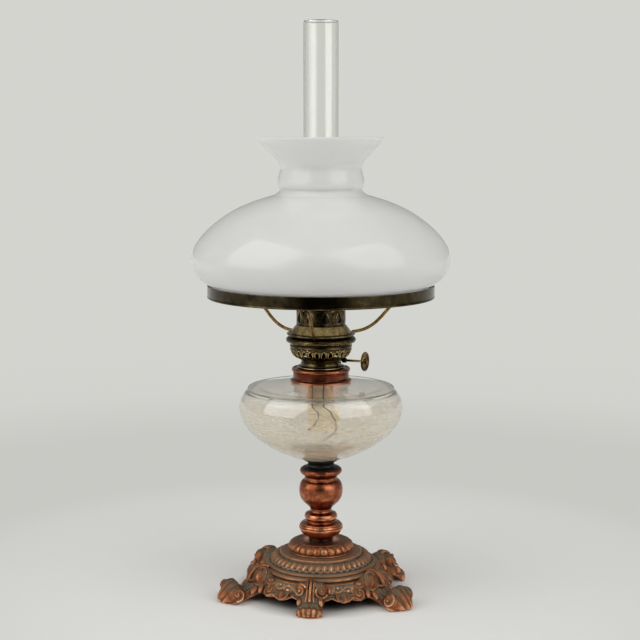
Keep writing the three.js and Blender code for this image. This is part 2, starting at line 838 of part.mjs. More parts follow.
function feedWheel(side) {
  const shape = new THREE.Shape();
  const points = feedWheelTeeth * 2;
  for (let i = 0; i < points; i++) {
    const radius = feedWheelRadius * (i % 2 ? 1 - toothDepthShare : 1);
    const turn = (i / points) * 360 * degrees;
    shape[i ? "lineTo" : "moveTo"](radius * Math.cos(turn), radius * Math.sin(turn));
  }
  shape.closePath();
  const hole = new THREE.Path();
  hole.absarc(0, 0, spindleRadius + restGap / 2, 0, 360 * degrees, true);
  shape.holes.push(hole);
  const wheel = new THREE.ExtrudeGeometry(shape, {
    depth: feedWheelThickness,
    bevelEnabled: false,
    curveSegments: coarse / 2,
  })
    .translate(0, 0, -feedWheelThickness / 2)
    .rotateY(90 * degrees)
    .translate(side * feedWheelSpacing, 0, 0);
  return alongSpindle(solidOf(wheel));
}

// Knob: a dished disc with a thick rim and a hub.
function knob() {
  const outline = [
    at(0, 0),
    at(knobRadius * 0.8, 0),
    at(knobRadius, knobThickness * 0.25),
    at(knobRadius, knobThickness * 0.75),
    at(knobRadius * 0.86, knobThickness),
    at(knobRadius * 0.72, knobThickness * 0.5),
    at(knobRadius * 0.3, knobThickness * 0.4),
    at(knobRadius * 0.24, knobThickness * 1.1),
    at(0, knobThickness * 1.2),
  ];
  const disc = new THREE.LatheGeometry(outline, coarse)
    .rotateZ(-90 * degrees)
    .translate(spindleReach + restGap, 0, 0);
  return alongSpindle(solidOf(disc));
}

function spindleBush() {
  const chord = Math.sqrt(burnerNeckRadius ** 2 - (chordOffset - bushRadius) ** 2) + restGap;
  const body = new THREE.CylinderGeometry(bushRadius, bushRadius, bushLength, coarse / 2)
    .rotateZ(90 * degrees)
    .translate(chord + bushLength / 2, 0, 0);
  return alongSpindle(solidOf(body)).subtract(
    alongSpindle(
      solidOf(
        new THREE.CylinderGeometry(
          spindleRadius + slideGap / 2,
          spindleRadius + slideGap / 2,
          spindleReach * 2,
          coarse / 2,
        ).rotateZ(90 * degrees),
      ),
    ),
  );
}

// Gallery: a skirt that stands on the basket's lip, and the pierced crown for the chimney.
const galleryShares = [
  [1, 0],
  [0.995, 0.18],
  [0.885, 0.68],
];
function gallery() {
  const skirt = scaled(galleryShares, galleryFootRadius, gallerySkirtHeight);
  const top = gallerySkirtHeight + crownHeight;
  const inside = insetOutline(skirt, sheet);
  const seatHole = crownRadius - sheet * 5;
  const wall = turnedSolid(
    [
      ...skirt,
      at(crownRadius, gallerySkirtHeight),
      at(crownRadius, top),
      at(crownRadius - sheet, top),
      at(crownRadius - sheet, gallerySkirtHeight),
      at(seatHole, gallerySkirtHeight),
      at(seatHole, gallerySkirtHeight - sheet),
      at(crownRadius - sheet * 2, gallerySkirtHeight - sheet),
      ...inside.reverse(),
    ],
    crownWindowCount * 2,
  );
  const cutters = [];
  for (let i = 0; i < crownWindowCount; i++) {
    const turn = (i / crownWindowCount) * 360;
    cutters.push(turnedAbout(crownWindow(), turn));
    cutters.push(turnedAbout(crownVee(), turn + 180 / crownWindowCount));
    cutters.push(turnedAbout(crownSlit(), turn + 180 / crownWindowCount));
  }
  return cutBy(wall, cutters);
}

// A flat shape in the plane that faces +X, pushed through the crown's wall.
function punched(points, rise) {
  const shape = new THREE.Shape(points);
  const depth = sheet * 6;
  const tool = new THREE.ExtrudeGeometry(shape, { depth, bevelEnabled: false })
    .rotateX(90 * degrees)
    .rotateZ(90 * degrees)
    .translate(crownRadius - depth / 2, 0, gallerySkirtHeight + rise);
  return solidOf(tool);
}

const crownWindow = () =>
  punched(
    [
      at(-crownWindowWidth / 2, 0),
      at(crownWindowWidth / 2, 0),
      at(crownWindowWidth / 2, crownWindowHeight * 0.4),
      at(crownWindowWidth / 5, crownWindowHeight),
      at(-crownWindowWidth / 5, crownWindowHeight),
      at(-crownWindowWidth / 2, crownWindowHeight * 0.4),
    ],
    sheet * 1.5,
  );
const crownVee = () =>
  punched(
    [at(0, 0), at(crownVeeWidth / 2, crownVeeHeight), at(-crownVeeWidth / 2, crownVeeHeight)],
    sheet * 1.5 + crownWindowHeight - crownVeeHeight,
  );
const crownSlit = () =>
  punched(
    [
      at(-crownSlitWidth / 2, 0),
      at(crownSlitWidth / 2, 0),
      at(crownSlitWidth / 2, crownSlitDepth + overrun),
      at(-crownSlitWidth / 2, crownSlitDepth + overrun),
    ],
    crownHeight - crownSlitDepth,
  );

// Chimney: a wide foot in the crown, a waist just over the flame and a long straight tube.
const chimneyFootRadius = crownRadius - sheet - slideGap;
const chimneySeat = burnerSeat + lipTop + restGap + gallerySkirtHeight + restGap;
function chimney() {
  const outline = [
    at(chimneyFootRadius, 0),
    at(chimneyFootRadius, chimneyBaseHeight * 0.9),
    at(chimneyFootRadius - chimneyWall, chimneyBaseHeight * 1.15),
    at(chimneyWaistRadius + chimneyWall, chimneyWaistRise * 0.9),
    at(chimneyWaistRadius, chimneyWaistRise),
    at(chimneyWaistRadius + chimneyWall * 0.7, chimneyWaistRise * 1.15),
    at(chimneyTubeRadius, chimneyWaistRise * 1.5),
    at(chimneyTubeRadius, chimneyHeight),
  ];
  return turnedSolid(shellOutline(outline, chimneyWall), round);
}

// Shade holder
const hubSeat = burnerSeat + lipTop + restGap;
const ringSeat = hubSeat + armRise;
const hubInner = galleryFootRadius + slideGap;
const hubOuter = hubInner + hubWidth;
const shelfInner = ringRadius - ringShelfWidth;

const holderHub = () => turnedSolid(ringOutline(hubInner, hubOuter, 0, hubHeight), fine);

// A shelf that the shade stands on, inside an upright band with a turned-out foot.
function shadeRing() {
  const outline = [
    at(shelfInner, 0),
    at(ringRadius - ringWall, 0),
    at(ringRadius - ringWall * 0.5, -ringWall * 0.6),
    at(ringRadius, 0),
    at(ringRadius, ringHeight),
    at(ringRadius - ringWall, ringHeight),
    at(ringRadius - ringWall, ringWall),
    at(shelfInner, ringWall),
  ];
  return turnedSolid(outline, fine);
}

// An arm's line: out of the hub, up in a sweep and flat again under the shelf.
const armShares = [
  [0, 0],
  [0.14, 0.03],
  [0.27, 0.09],
  [0.39, 0.25],
  [0.5, 0.47],
  [0.64, 0.72],
  [0.8, 0.91],
  [0.92, 0.99],
  [1, 1],
];
function arm() {
  const start = hubOuter + restGap;
  const end = shelfInner + rivetInset * 2;
  const low = hubHeight / 2;
  const high = armRise - armRadius - restGap;
  const line = new THREE.CatmullRomCurve3(
    armShares.map(([r, z]) => new THREE.Vector3(start + r * (end - start), 0, low + z * (high - low))),
  );
  const section = new THREE.Shape().absarc(0, 0, armRadius, 0, 360 * degrees);
  return solidOf(
    new THREE.ExtrudeGeometry(section, { steps: 10, curveSegments: 4, extrudePath: line }),
  );
}

function rivet() {
  const head = [
    at(0, 0),
    at(rivetRadius, 0),
    at(rivetRadius * 0.8, rivetHeight * 0.7),
    at(0, rivetHeight),
  ];
  return solidOf(new THREE.LatheGeometry(head, coarse / 2).rotateX(90 * degrees));
}

// Shade
const shadeSeat = ringSeat + ringWall + restGap;
const shadeFootRadius = ringRadius - ringWall - shadeSlack;
const shadeFootHeight = ringHeight - ringWall - restGap + slideGap; // just above the ring's edge
const shadeRadius = shadeFootRadius + shadeSwell;

// Its belly and neck, as shares of their radius and of the height above the foot.
const shadeBellyShares = [
  [0.948, 0.041],
  [0.988, 0.11],
  [1, 0.172],
  [0.985, 0.233],
  [0.94, 0.304],
  [0.812, 0.421],
  [0.631, 0.525],
  [0.357, 0.608],
];
const shadeNeckShares = [
  [0.952, 0.648],
  [1, 0.678],
  [0.995, 0.721],
  [0.94, 0.794],
  [0.963, 0.822],
];
const shadeFlareShare = [0.24, 0.872]; // of the way from neck to rim, and of the height

// The outside runs from the rim that stands in the ring up to the flared top.
function shade() {
  const rise = shadeHeight - shadeFootHeight;
  const belly = scaled(shadeBellyShares, shadeRadius, rise);
  const neck = scaled(shadeNeckShares, shadeNeckRadius, rise);
  const [flareOut, flareRise] = shadeFlareShare;
  const flareRadius = shadeNeckRadius + flareOut * (shadeRimRadius - shadeNeckRadius);
  const above = [...belly, ...neck, at(flareRadius, flareRise * rise), at(shadeRimRadius, rise)];
  const foot = [at(shadeFootRadius, 0), at(shadeFootRadius + slideGap, shadeFootHeight)];
  const outside = [...foot, ...above.map((p) => at(p.x, p.y + shadeFootHeight))];
  const corners = [1, belly.length + 1]; // over the foot and under the neck, where the wall turns
  const inside = insetOutline(outside, shadeWall).filter((_, i) => i % 2 === 0 || corners.includes(i));
  return turnedSolid([...outside, ...inside.reverse()], fine);
}

// Assembly
const lamp = new THREE.Group();
function place(group, mesh, height) {
  mesh.position.z = height;
  group.add(mesh);
  return mesh;
}

const stand = new THREE.Group();
lamp.add(stand);
place(stand, piece("base_casting", baseCasting(), patinatedIron), 0);
place(stand, piece("petal_ring", petalRing(), copperPlate), petalRingSeat);
const stemFoot = stemPiece(stemFootShares, stemFootRadius, stemFootHeight);
const stemBall = stemPiece(ballShares, ballRadius, ballHeight);
place(stand, piece("stem_foot", stemFoot, copperPlate), stemFootSeat);
place(stand, piece("stem_ball", stemBall, copperPlate), ballSeat);
place(stand, piece("stem_cap", stemCap(), copperPlate), capSeat);

// Everything between the two nuts is clamped by the tie rod.
const washerSeat = baseHeight - castWall - restGap - washerThickness;
const baseNutSeat = washerSeat - restGap - nutHeight;
const cupNutSeat = cupSeat + cupWall + restGap;
const washer = turnedSolid(ringOutline(rodRadius + restGap, washerRadius, 0, washerThickness), coarse);
const rodBottom = baseNutSeat - rodStandOut;
const rodTop = cupNutSeat + nutHeight / 2 + restGap;
place(stand, piece("base_washer", washer, steel), washerSeat);
place(stand, piece("base_nut", hexNut(), steel), baseNutSeat);
place(stand, piece("tie_rod", rod(rodRadius, rodBottom, rodTop, coarse), steel), 0);
place(stand, piece("font_cup", fontCup(), blackLacquer), cupSeat);
const cupNut = hexNut().scale([1, 1, 0.5]);
place(stand, piece("cup_nut", cupNut, steel), cupNutSeat);

const reservoir = new THREE.Group();
lamp.add(reservoir);
place(reservoir, piece("font", fontBowl(), clearGlass), fontSeat);
place(reservoir, piece("font_cement", fontCement(), plaster), fontSeat);
place(reservoir, piece("collar_cement", collarCement(), plaster), collarSeat);
place(reservoir, piece("font_collar", fontCollar(), copperCollar), collarSeat);

const burner = new THREE.Group();
lamp.add(burner);
place(burner, piece("burner_base", burnerBase(), agedBrass), burnerSeat);
place(burner, piece("air_basket", airBasket(), agedBrass), burnerSeat + neckTop + restGap);
place(burner, piece("outer_wick_tube", outerWickTube(), agedBrass), burnerSeat);
place(burner, piece("draft_tube", draftTube(), agedBrass), burnerSeat);
place(burner, piece("wick", wick(), cotton), burnerSeat);
place(burner, piece("wick_spindle", spindle(), agedBrass), burnerSeat);
place(burner, piece("feed_wheel_inner", feedWheel(-0.5), agedBrass), burnerSeat);
place(burner, piece("feed_wheel_outer", feedWheel(0.5), agedBrass), burnerSeat);
place(burner, piece("wick_knob", knob(), agedBrass), burnerSeat);
place(burner, piece("spindle_bush", spindleBush(), agedBrass), burnerSeat);
place(burner, piece("chimney_gallery", gallery(), agedBrass), hubSeat);

const holder = new THREE.Group();
lamp.add(holder);
place(holder, piece("holder_hub", holderHub(), agedBrass), hubSeat);
place(holder, piece("shade_ring", shadeRing(), darkBrass), ringSeat);
thirds.forEach((turn, i) => {
  const angle = shellFootAngle + turn;
  place(holder, piece("holder_arm_" + (i + 1), turnedAbout(arm(), angle), agedBrass), hubSeat);
  const head = rivet().translate([shelfInner + rivetInset, 0, ringWall + restGap]);
  place(holder, piece("arm_rivet_" + (i + 1), turnedAbout(head, angle), agedBrass), ringSeat);
});

place(lamp, piece("shade", shade(), opalGlass), shadeSeat);
place(lamp, piece("chimney", chimney(), clearGlass), chimneySeat);

export default lamp;
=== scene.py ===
# %% [markdown]
# # A kerosene table lamp
# The lamp is about 600 mm tall. A cast base on six scrolled feet carries a turned copper
# stem, a blown glass font, a brass burner and a white opal shade round a clear chimney.
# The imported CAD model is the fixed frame: it says where each piece is and what it moves
# with. Here every piece gets its fine shape and its finish.

# %% Load the frame
import json
import math

import bmesh
import bpy
import numpy as np
from mathutils import Matrix, Vector


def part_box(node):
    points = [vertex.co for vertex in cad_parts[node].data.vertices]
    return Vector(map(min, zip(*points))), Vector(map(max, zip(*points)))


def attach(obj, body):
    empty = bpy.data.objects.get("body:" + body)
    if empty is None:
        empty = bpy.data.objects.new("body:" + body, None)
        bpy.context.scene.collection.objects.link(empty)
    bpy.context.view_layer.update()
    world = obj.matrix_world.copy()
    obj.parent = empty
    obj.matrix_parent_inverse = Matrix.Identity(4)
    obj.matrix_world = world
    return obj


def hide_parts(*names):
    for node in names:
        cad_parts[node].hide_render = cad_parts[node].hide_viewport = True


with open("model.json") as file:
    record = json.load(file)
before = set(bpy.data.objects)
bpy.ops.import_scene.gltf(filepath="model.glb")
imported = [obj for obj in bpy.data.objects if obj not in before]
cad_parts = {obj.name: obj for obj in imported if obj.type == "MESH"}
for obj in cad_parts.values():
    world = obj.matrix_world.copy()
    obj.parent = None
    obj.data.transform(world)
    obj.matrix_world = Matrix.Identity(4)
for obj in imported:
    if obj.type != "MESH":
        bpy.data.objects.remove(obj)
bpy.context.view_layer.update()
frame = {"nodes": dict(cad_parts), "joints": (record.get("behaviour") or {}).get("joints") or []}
bpy.ops.object.select_all(action="DESELECT")
MM = 0.001
FULL_TURN = 2 * math.pi
SMOOTH_BELOW = math.radians(40)

# %% [markdown]
# ## Camera
# The photograph was taken with a long lens from about a metre and a half away, a little
# above the shade's belly and tilted down by 7.5 degrees. The lens is in millimetres on a
# 36 mm sensor. The camera comes first, so that every later step can be judged through it.

# %% Camera
CAMERA_TURN = math.radians(7.5)
CAMERA_TILT = math.radians(7.5)
CAMERA_DISTANCE = 1450 * MM
CAMERA_HEIGHT = 483 * MM
SENSOR_MM, LENS_MM = 36, 78.2
AIM = math.radians(0.04)  # the lamp stands a pixel right of the middle

bpy.ops.object.camera_add(
    location=(
        CAMERA_DISTANCE * math.sin(CAMERA_TURN),
        -CAMERA_DISTANCE * math.cos(CAMERA_TURN),
        CAMERA_HEIGHT,
    ),
    rotation=(math.pi / 2 - CAMERA_TILT, 0, CAMERA_TURN + AIM),
)
camera = bpy.context.object
camera.name = "photo_camera"
camera.data.sensor_width = SENSOR_MM
camera.data.lens = LENS_MM
scene = bpy.context.scene
scene.camera = camera
scene.view_settings.view_transform = "Standard"
print("camera at", tuple(round(v, 3) for v in camera.location))

# %% [markdown]
# ## Nodes
# A material is a small tree of nodes. One function adds a node, sets its values and joins
# its inputs, so that a material reads from top to bottom. Colours are written as the hex
# values that a picture shows, and turned to the linear values that Blender reckons in.


# %% Node helpers
def linear(hex_colour):
    """Turns a colour such as "8A5A3C" into linear red, green, blue and alpha."""
    parts = [int(hex_colour[i : i + 2], 16) / 255 for i in (0, 2, 4)]
    return [c / 12.92 if c <= 0.04045 else ((c + 0.055) / 1.055) ** 2.4 for c in parts] + [1]


def add(tree, kind, inputs=None, **settings):
    """Adds a node. An input, by name or number, takes a value or another node's socket."""
    node = tree.nodes.new("ShaderNode" + kind)
    for name, value in settings.items():
        setattr(node, name, value)
    for name, value in (inputs or {}).items():
        if isinstance(value, bpy.types.NodeSocket):
            tree.links.new(value, node.inputs[name])
        else:
            node.inputs[name].default_value = value
    return node


def maths(tree, operation, *terms, **settings):
    """Reckons with sockets and numbers."""
    return add(tree, "Math", dict(enumerate(terms)), operation=operation, **settings).outputs[0]


def ramp(tree, source, stops):
    """Adds a colour ramp over a list of (place, hex colour)."""
    node = add(tree, "ValToRGB", {"Fac": source})
    band = node.color_ramp
    while len(band.elements) < len(stops):
        band.elements.new(0.5)
    for element, (place, colour) in zip(band.elements, stops):
        element.position = place
        element.color = linear(colour)
    return node.outputs["Color"]


def blend(tree, share, under, over, **settings):
    """Mixes two colours, each of them a socket or a hex value."""
    under, over = (linear(c) if isinstance(c, str) else c for c in (under, over))
    return add(tree, "Mix", {0: share, 6: under, 7: over}, data_type="RGBA", **settings).outputs[2]


def layered(tree, share, under, over):
    """Mixes two shader nodes."""
    return add(tree, "MixShader", {0: share, 1: under.outputs[0], 2: over.outputs[0]})


def spread(tree, source, low, high, to_low=0, to_high=1):
    """Maps a number from one range to another, and holds it at both ends."""
    inputs = {"Value": source, "From Min": low, "From Max": high, "To Min": to_low, "To Max": to_high}
    return add(tree, "MapRange", inputs).outputs["Result"]


def own_place(tree):
    """The object's own coordinates, in metres."""
    return add(tree, "TexCoord").outputs["Object"]


def height_of(tree, vector):
    return add(tree, "SeparateXYZ", {"Vector": vector}).outputs["Z"]


def painted(tree, name):
    """A number that is written at the mesh's points."""
    return add(tree, "Attribute", attribute_name=name, attribute_type="GEOMETRY").outputs["Fac"]


def grain(tree, size_mm, detail=4, distortion=0.0, stretch=(1, 1, 1)):
    """Noise with spots of about this size, fixed to the object's own coordinates."""
    scaled = add(tree, "Mapping", {"Scale": stretch, "Vector": own_place(tree)}).outputs["Vector"]
    inputs = {"Vector": scaled, "Scale": 1 / (size_mm * MM), "Detail": detail, "Distortion": distortion}
    return add(tree, "TexNoise", inputs).outputs["Fac"]


def total(tree, *terms):
    """Adds up (socket, weight) pairs."""
    parts = [maths(tree, "MULTIPLY", socket, weight) for socket, weight in terms]
    summed = parts[0]
    for part in parts[1:]:
        summed = maths(tree, "ADD", summed, part)
    return summed


def bumped(tree, height, depth_mm):
    """A bump normal from a height between 0 and 1."""
    return add(tree, "Bump", {"Distance": depth_mm * MM, "Height": height}).outputs["Normal"]


def new_material(name):
    """An empty material and its tree."""
    material = bpy.data.materials.new(name)
    material.use_nodes = True
    material.node_tree.nodes.clear()
    return material, material.node_tree


def surfaced(tree, inputs):
    """Ends a material's tree with a principled surface."""
    shader = add(tree, "BsdfPrincipled", inputs)
    add(tree, "OutputMaterial", {"Surface": shader.outputs[0]})


# %% [markdown]
# ## Studio
# The lamp stood in a light tent. A pale paper floor runs back into pale air, and two large
# lit walls stand left and right of the camera, whose reflections show in the shade and in
# the font. Between them is the tent's open front, which is darker, so that metal and glass
# get a dark middle. The floor is shown in its own colour and still takes the lamp's shadow.
# Far from the lamp it fades into the colour of the air, so that no horizon shows.

# %% Air
AIR = "D3D4CF"
SKY_TONES = [(0, "C4C5C1"), (0.35, "B4B4B1"), (1, "C2C2C0")]
SKY_LIGHT = 0.6
OPEN_FRONT = "1F1E1C"
INSIDE_GLASS = 2.7
TO_CAMERA = (math.sin(CAMERA_TURN), -math.cos(CAMERA_TURN), 0)


def towards_camera(tree, vector, low, high):
    """0 to 1 for directions that turn towards the open front of the studio."""
    facing = add(tree, "VectorMath", {0: vector, 1: TO_CAMERA}, operation="DOT_PRODUCT")
    return spread(tree, facing.outputs["Value"], low, high)


def seen_strength(tree, rays):
    """1 for what the camera sees, and more for rays that leave a matt surface inside glass.

    That stands in for the soft boxes, whose light a shadow ray can't carry through glass."""
    scattered = maths(tree, "MINIMUM", rays["Diffuse Depth"], 1.0)
    inside = maths(tree, "MULTIPLY", scattered, rays["Is Transmission Ray"])
    return spread(tree, inside, 0, 1, 1, INSIDE_GLASS)


world = bpy.data.worlds.new("studio_air")
world.use_nodes = True
scene.world = world
air = world.node_tree
air.nodes.clear()
direction = add(air, "TexCoord").outputs["Generated"]
sky = ramp(air, spread(air, height_of(air, direction), 0, 1), SKY_TONES)
dimmed = blend(air, towards_camera(air, direction, 0.7, 0.95), sky, OPEN_FRONT)
rays = add(air, "LightPath").outputs
light_air = add(air, "Background", {"Strength": SKY_LIGHT, "Color": dimmed})
seen_air = add(air, "Background", {"Color": linear(AIR), "Strength": seen_strength(air, rays)})
direct = maths(air, "MAXIMUM", rays["Is Camera Ray"], rays["Is Transmission Ray"])
add(air, "OutputWorld", {"Surface": layered(air, direct, light_air, seen_air).outputs[0]})

# %% Floor
NEAR, DIP, FAR = "D8D9D5", "C8C9C4", "D1D2CD"
FLOOR_TONES = [(0, NEAR), (0.08, NEAR), (0.22, DIP), (0.4, DIP), (0.6, FAR), (1, AIR)]
FLOOR_FRONT = "151413"
# painted shadow: the floor's matt colour is near black within 5 cm of the axis and pales to white by 10 cm
PAINTED_SHADOW_UNDER_BASE = [(0, "24221F"), (1, "F1F1EF")]

bpy.ops.mesh.primitive_circle_add(vertices=96, radius=30, fill_type="NGON", location=(0, 0, 0))
floor = bpy.context.object
floor.name = "studio_floor"
paper, tree = new_material("matt_paper")
place = own_place(tree)
away = add(tree, "VectorMath", {0: place}, operation="LENGTH").outputs["Value"]
tone = ramp(tree, spread(tree, away, 0.1, 1.9), FLOOR_TONES)
rays = add(tree, "LightPath").outputs
# the open front shows in reflections alone, and not through glass
unit = add(tree, "VectorMath", {0: place}, operation="NORMALIZE").outputs["Vector"]
front = maths(tree, "MULTIPLY", towards_camera(tree, unit, 0.8, 0.95), spread(tree, away, 0.8, 1.6))
glossy, through = rays["Is Glossy Ray"], rays["Is Transmission Ray"]
mirrored = maths(tree, "SUBTRACT", glossy, through, use_clamp=True)
opened = blend(tree, maths(tree, "MULTIPLY", front, mirrored), tone, FLOOR_FRONT)
shone = add(tree, "Emission", {"Color": opened, "Strength": seen_strength(tree, rays)})
# the matt floor carries the painted shadow under the base, besides the shadows it takes
lit = add(tree, "BsdfDiffuse", {"Color": ramp(tree, spread(tree, away, 0.05, 0.1), PAINTED_SHADOW_UNDER_BASE)})
backdrop = layered(tree, spread(tree, away, 0.085, 0.42), lit, shone)
direct = maths(tree, "MAXIMUM", maths(tree, "MAXIMUM", rays["Is Camera Ray"], glossy), through)
add(tree, "OutputMaterial", {"Surface": layered(tree, direct, lit, backdrop).outputs[0]})
floor.data.materials.append(paper)

# %% Soft boxes
LAMP_MIDDLE = Vector((0, 0, 330 * MM))
BOX_DISTANCE = 1.9
BOX_RISE = math.radians(33)


def soft_box(name, turn, size, radiance):
    """A large lit wall of the tent, seen from the lamp at a turn right of the camera."""
    angle = CAMERA_TURN + math.radians(turn)
    level, height = BOX_DISTANCE * math.cos(BOX_RISE), BOX_DISTANCE * math.sin(BOX_RISE)
    offset = Vector((level * math.sin(angle), -level * math.cos(angle), height))
    facing = (-offset).to_track_quat("-Z", "Y").to_euler()
    bpy.ops.object.light_add(type="AREA", location=LAMP_MIDDLE + offset, rotation=facing)
    box = bpy.context.object
    box.name = name
    box.data.shape = "RECTANGLE"
    box.data.size, box.data.size_y = size
    box.data.energy = radiance * math.pi * size[0] * size[1]
    box.visible_camera = False


soft_box("soft_box_left", -61, (1.95, 2.3), 1.6)
soft_box("soft_box_right", 51, (1.85, 2.3), 1.56)
print("studio: floor, air and two soft boxes")

# %% [markdown]
# ## Making shapes
# Nearly everything on this lamp was turned on a lathe, spun from sheet or blown in a round
# mould, so most pieces start as one vertex that is extruded along an outline and then spun
# about the lamp's axis. Outlines are in millimetres, as radius and height above the table.
# A piece is made at that size and shrunk to metres at the end.


# %% Shape helpers
def corner(*point):
    """A sharp corner of a flowing line, which is its point written twice."""
    return point, point


def flowing(points, spans=4):
    """Rounds a line through its points, with a number of steps between two points."""
    points = [np.array(p, float) for p in points]
    line = []
    for i in range(len(points) - 1):
        start, end = points[i], points[i + 1]
        length = np.linalg.norm(end - start)
        if length == 0:
            continue
        before, after = points[max(i - 1, 0)], points[min(i + 2, len(points) - 1)]
        ahead = np.linalg.norm(start - before)
        behind = np.linalg.norm(after - end)
        leave = (end - before) * length / (length + ahead)
        arrive = (after - start) * length / (length + behind)
        for t in np.arange(spans) / spans:
            a, b = 2 * t**3 - 3 * t**2 + 1, t**3 - 2 * t**2 + t
            c, d = -2 * t**3 + 3 * t**2, t**3 - t**2
            line.append(a * start + b * leave + c * end + d * arrive)
    return line + [points[-1]]


def inside_of(outline, wall):
    """An outline moved inwards by a wall's thickness, running back the other way."""
    line = np.array(outline, float)
    along = np.gradient(line, axis=0)
    along /= np.maximum(np.linalg.norm(along, axis=1, keepdims=True), 1e-9)
    return list((line + wall * np.stack([-along[:, 1], along[:, 0]], axis=1))[::-1])


def select_only(*objects):
    """Selects these objects, the first of them as the active one."""
    bpy.ops.object.select_all(action="DESELECT")
    for obj in objects:
        obj.select_set(True)
    bpy.context.view_layer.objects.active = objects[0]


def primitive(kind, name, **settings):
    """Adds one of the modeller's simple shapes at the origin."""
    getattr(bpy.ops.mesh, f"primitive_{kind}_add")(location=(0, 0, 0), **settings)
    bpy.context.object.name = name
    return bpy.context.object


def chain(name, points, closed=True):
    """Extrudes one vertex along points in mm. Leaves the object in edit mode."""
    obj = primitive("plane", name, size=1)
    points = [Vector(p) for p in points]
    bpy.ops.object.mode_set(mode="EDIT")
    bpy.ops.mesh.select_mode(type="VERT")
    bpy.ops.mesh.select_all(action="SELECT")
    bpy.ops.mesh.merge(type="CENTER")
    bpy.ops.transform.translate(value=points[0])
    for here, there in zip(points, points[1:]):
        bpy.ops.mesh.extrude_vertices_move(TRANSFORM_OT_translate={"value": there - here})
    if closed:
        mesh = bmesh.from_edit_mesh(obj.data)
        mesh.verts.ensure_lookup_table()
        for vertex in mesh.verts:
            vertex.select = vertex.index in (0, len(points) - 1)
        mesh.select_flush_mode()
        bmesh.update_edit_mesh(obj.data)
        bpy.ops.mesh.edge_face_add()
    bpy.ops.mesh.select_all(action="SELECT")
    return obj


def close_up():
    """Merges doubles, turns the faces outwards and leaves edit mode."""
    bpy.ops.mesh.select_all(action="SELECT")
    bpy.ops.mesh.remove_doubles(threshold=1e-3)
    bpy.ops.mesh.normals_make_consistent(inside=False)
    bpy.ops.object.mode_set(mode="OBJECT")


def turned(name, outline, steps, closed=True):
    """Spins an outline of (radius, height) in mm about the lamp's axis."""
    obj = chain(name, [(r, 0, z) for r, z in outline], closed)
    bpy.ops.mesh.spin(steps=steps, angle=FULL_TURN, center=(0, 0, 0), axis=(0, 0, 1))
    close_up()
    return obj


def rounded(name, points, steps=128):
    """Spins a flowing line through these points."""
    return turned(name, flowing(points, spans=3), steps)


def blown(name, outline, wall, foot, mouth, steps):
    """Spins a glass wall that is cut level at its foot and at its mouth."""
    inner = [(r, min(max(z, foot), mouth)) for r, z in inside_of(outline, wall)]
    return turned(name, outline + inner, steps)


def prism(name, points, step):
    """Fills a flat outline and extrudes it by a step in mm."""
    obj = chain(name, points)
    bpy.ops.mesh.edge_face_add()
    bpy.ops.mesh.extrude_region_move(TRANSFORM_OT_translate={"value": step})
    close_up()
    return obj


def wire(name, points, radius, roundness=2, taper=()):
    """A round wire along points in mm. A taper has a share of the radius for each point."""
    chain(name, points, closed=False)
    bpy.ops.object.mode_set(mode="OBJECT")
    bpy.ops.object.convert(target="CURVE")
    curve = bpy.context.object.data
    curve.dimensions = "3D"
    curve.bevel_depth = radius
    curve.bevel_resolution = roundness
    curve.use_fill_caps = True
    for point, share in zip(curve.splines[0].points, taper):
        point.radius = share
    bpy.ops.object.convert(target="MESH")
    bpy.ops.object.mode_set(mode="EDIT")
    close_up()
    return bpy.context.object


def corners(obj, kind="co"):
    """The mesh's points, or with "normal" the normals there, as an array."""
    flat = np.empty(len(obj.data.vertices) * 3)
    obj.data.vertices.foreach_get(kind, flat)
    return flat.reshape(-1, 3)


def polar(points):
    """The points' radius, angle and height."""
    x, y, z = points.T
    return np.hypot(x, y), np.arctan2(y, x), z


def from_polar(radius, angle, height):
    """The points at these radii, angles and heights."""
    return np.stack([radius * np.cos(angle), radius * np.sin(angle), height], axis=1)


def sculpt(obj, form):
    """Moves every point of a mesh to where the form, a function of all points, puts it."""
    obj.data.vertices.foreach_set("co", np.ascontiguousarray(form(corners(obj))).ravel())
    obj.data.update()
    return obj


def moved(obj, *steps):
    """Applies matrices to the mesh itself, so that the object stays at the origin."""
    for step in steps:
        obj.data.transform(step)
    return obj


def turn_about(axis, degrees):
    return Matrix.Rotation(math.radians(degrees), 4, axis)


def turn_to(direction):
    """The turn from +Z to a direction."""
    return Vector((0, 0, 1)).rotation_difference(direction).to_matrix().to_4x4()


def copy_of(obj, name, *steps):
    """A copy with a mesh of its own."""
    twin = obj.copy()
    twin.data = obj.data.copy()
    twin.name = name
    scene.collection.objects.link(twin)
    return moved(twin, *steps)


def joined(name, objects):
    """Joins objects into the first one."""
    select_only(*objects)
    bpy.ops.object.join()
    objects[0].name = name
    return objects[0]


def applied(obj, kind, **settings):
    """Adds a modifier with these settings and applies it."""
    select_only(obj)
    modifier = obj.modifiers.new(kind.lower(), kind)
    for name, value in settings.items():
        setattr(modifier, name, value)
    bpy.ops.object.modifier_apply(modifier=modifier.name)
    return obj


def pierced(obj, cutters):
    """Cuts holes with cutters that don't touch each other."""
    tool = joined(obj.name + "_cutter", cutters)
    applied(obj, "BOOLEAN", object=tool, operation="DIFFERENCE", solver="EXACT")
    bpy.data.objects.remove(tool)


def paint(obj, name, values):
    """Writes a number at each point of the mesh, for its material to read."""
    layer = obj.data.attributes.new(name, "FLOAT", "POINT")
    values = np.broadcast_to(values, len(obj.data.vertices))
    layer.data.foreach_set("value", values.astype(np.float32))


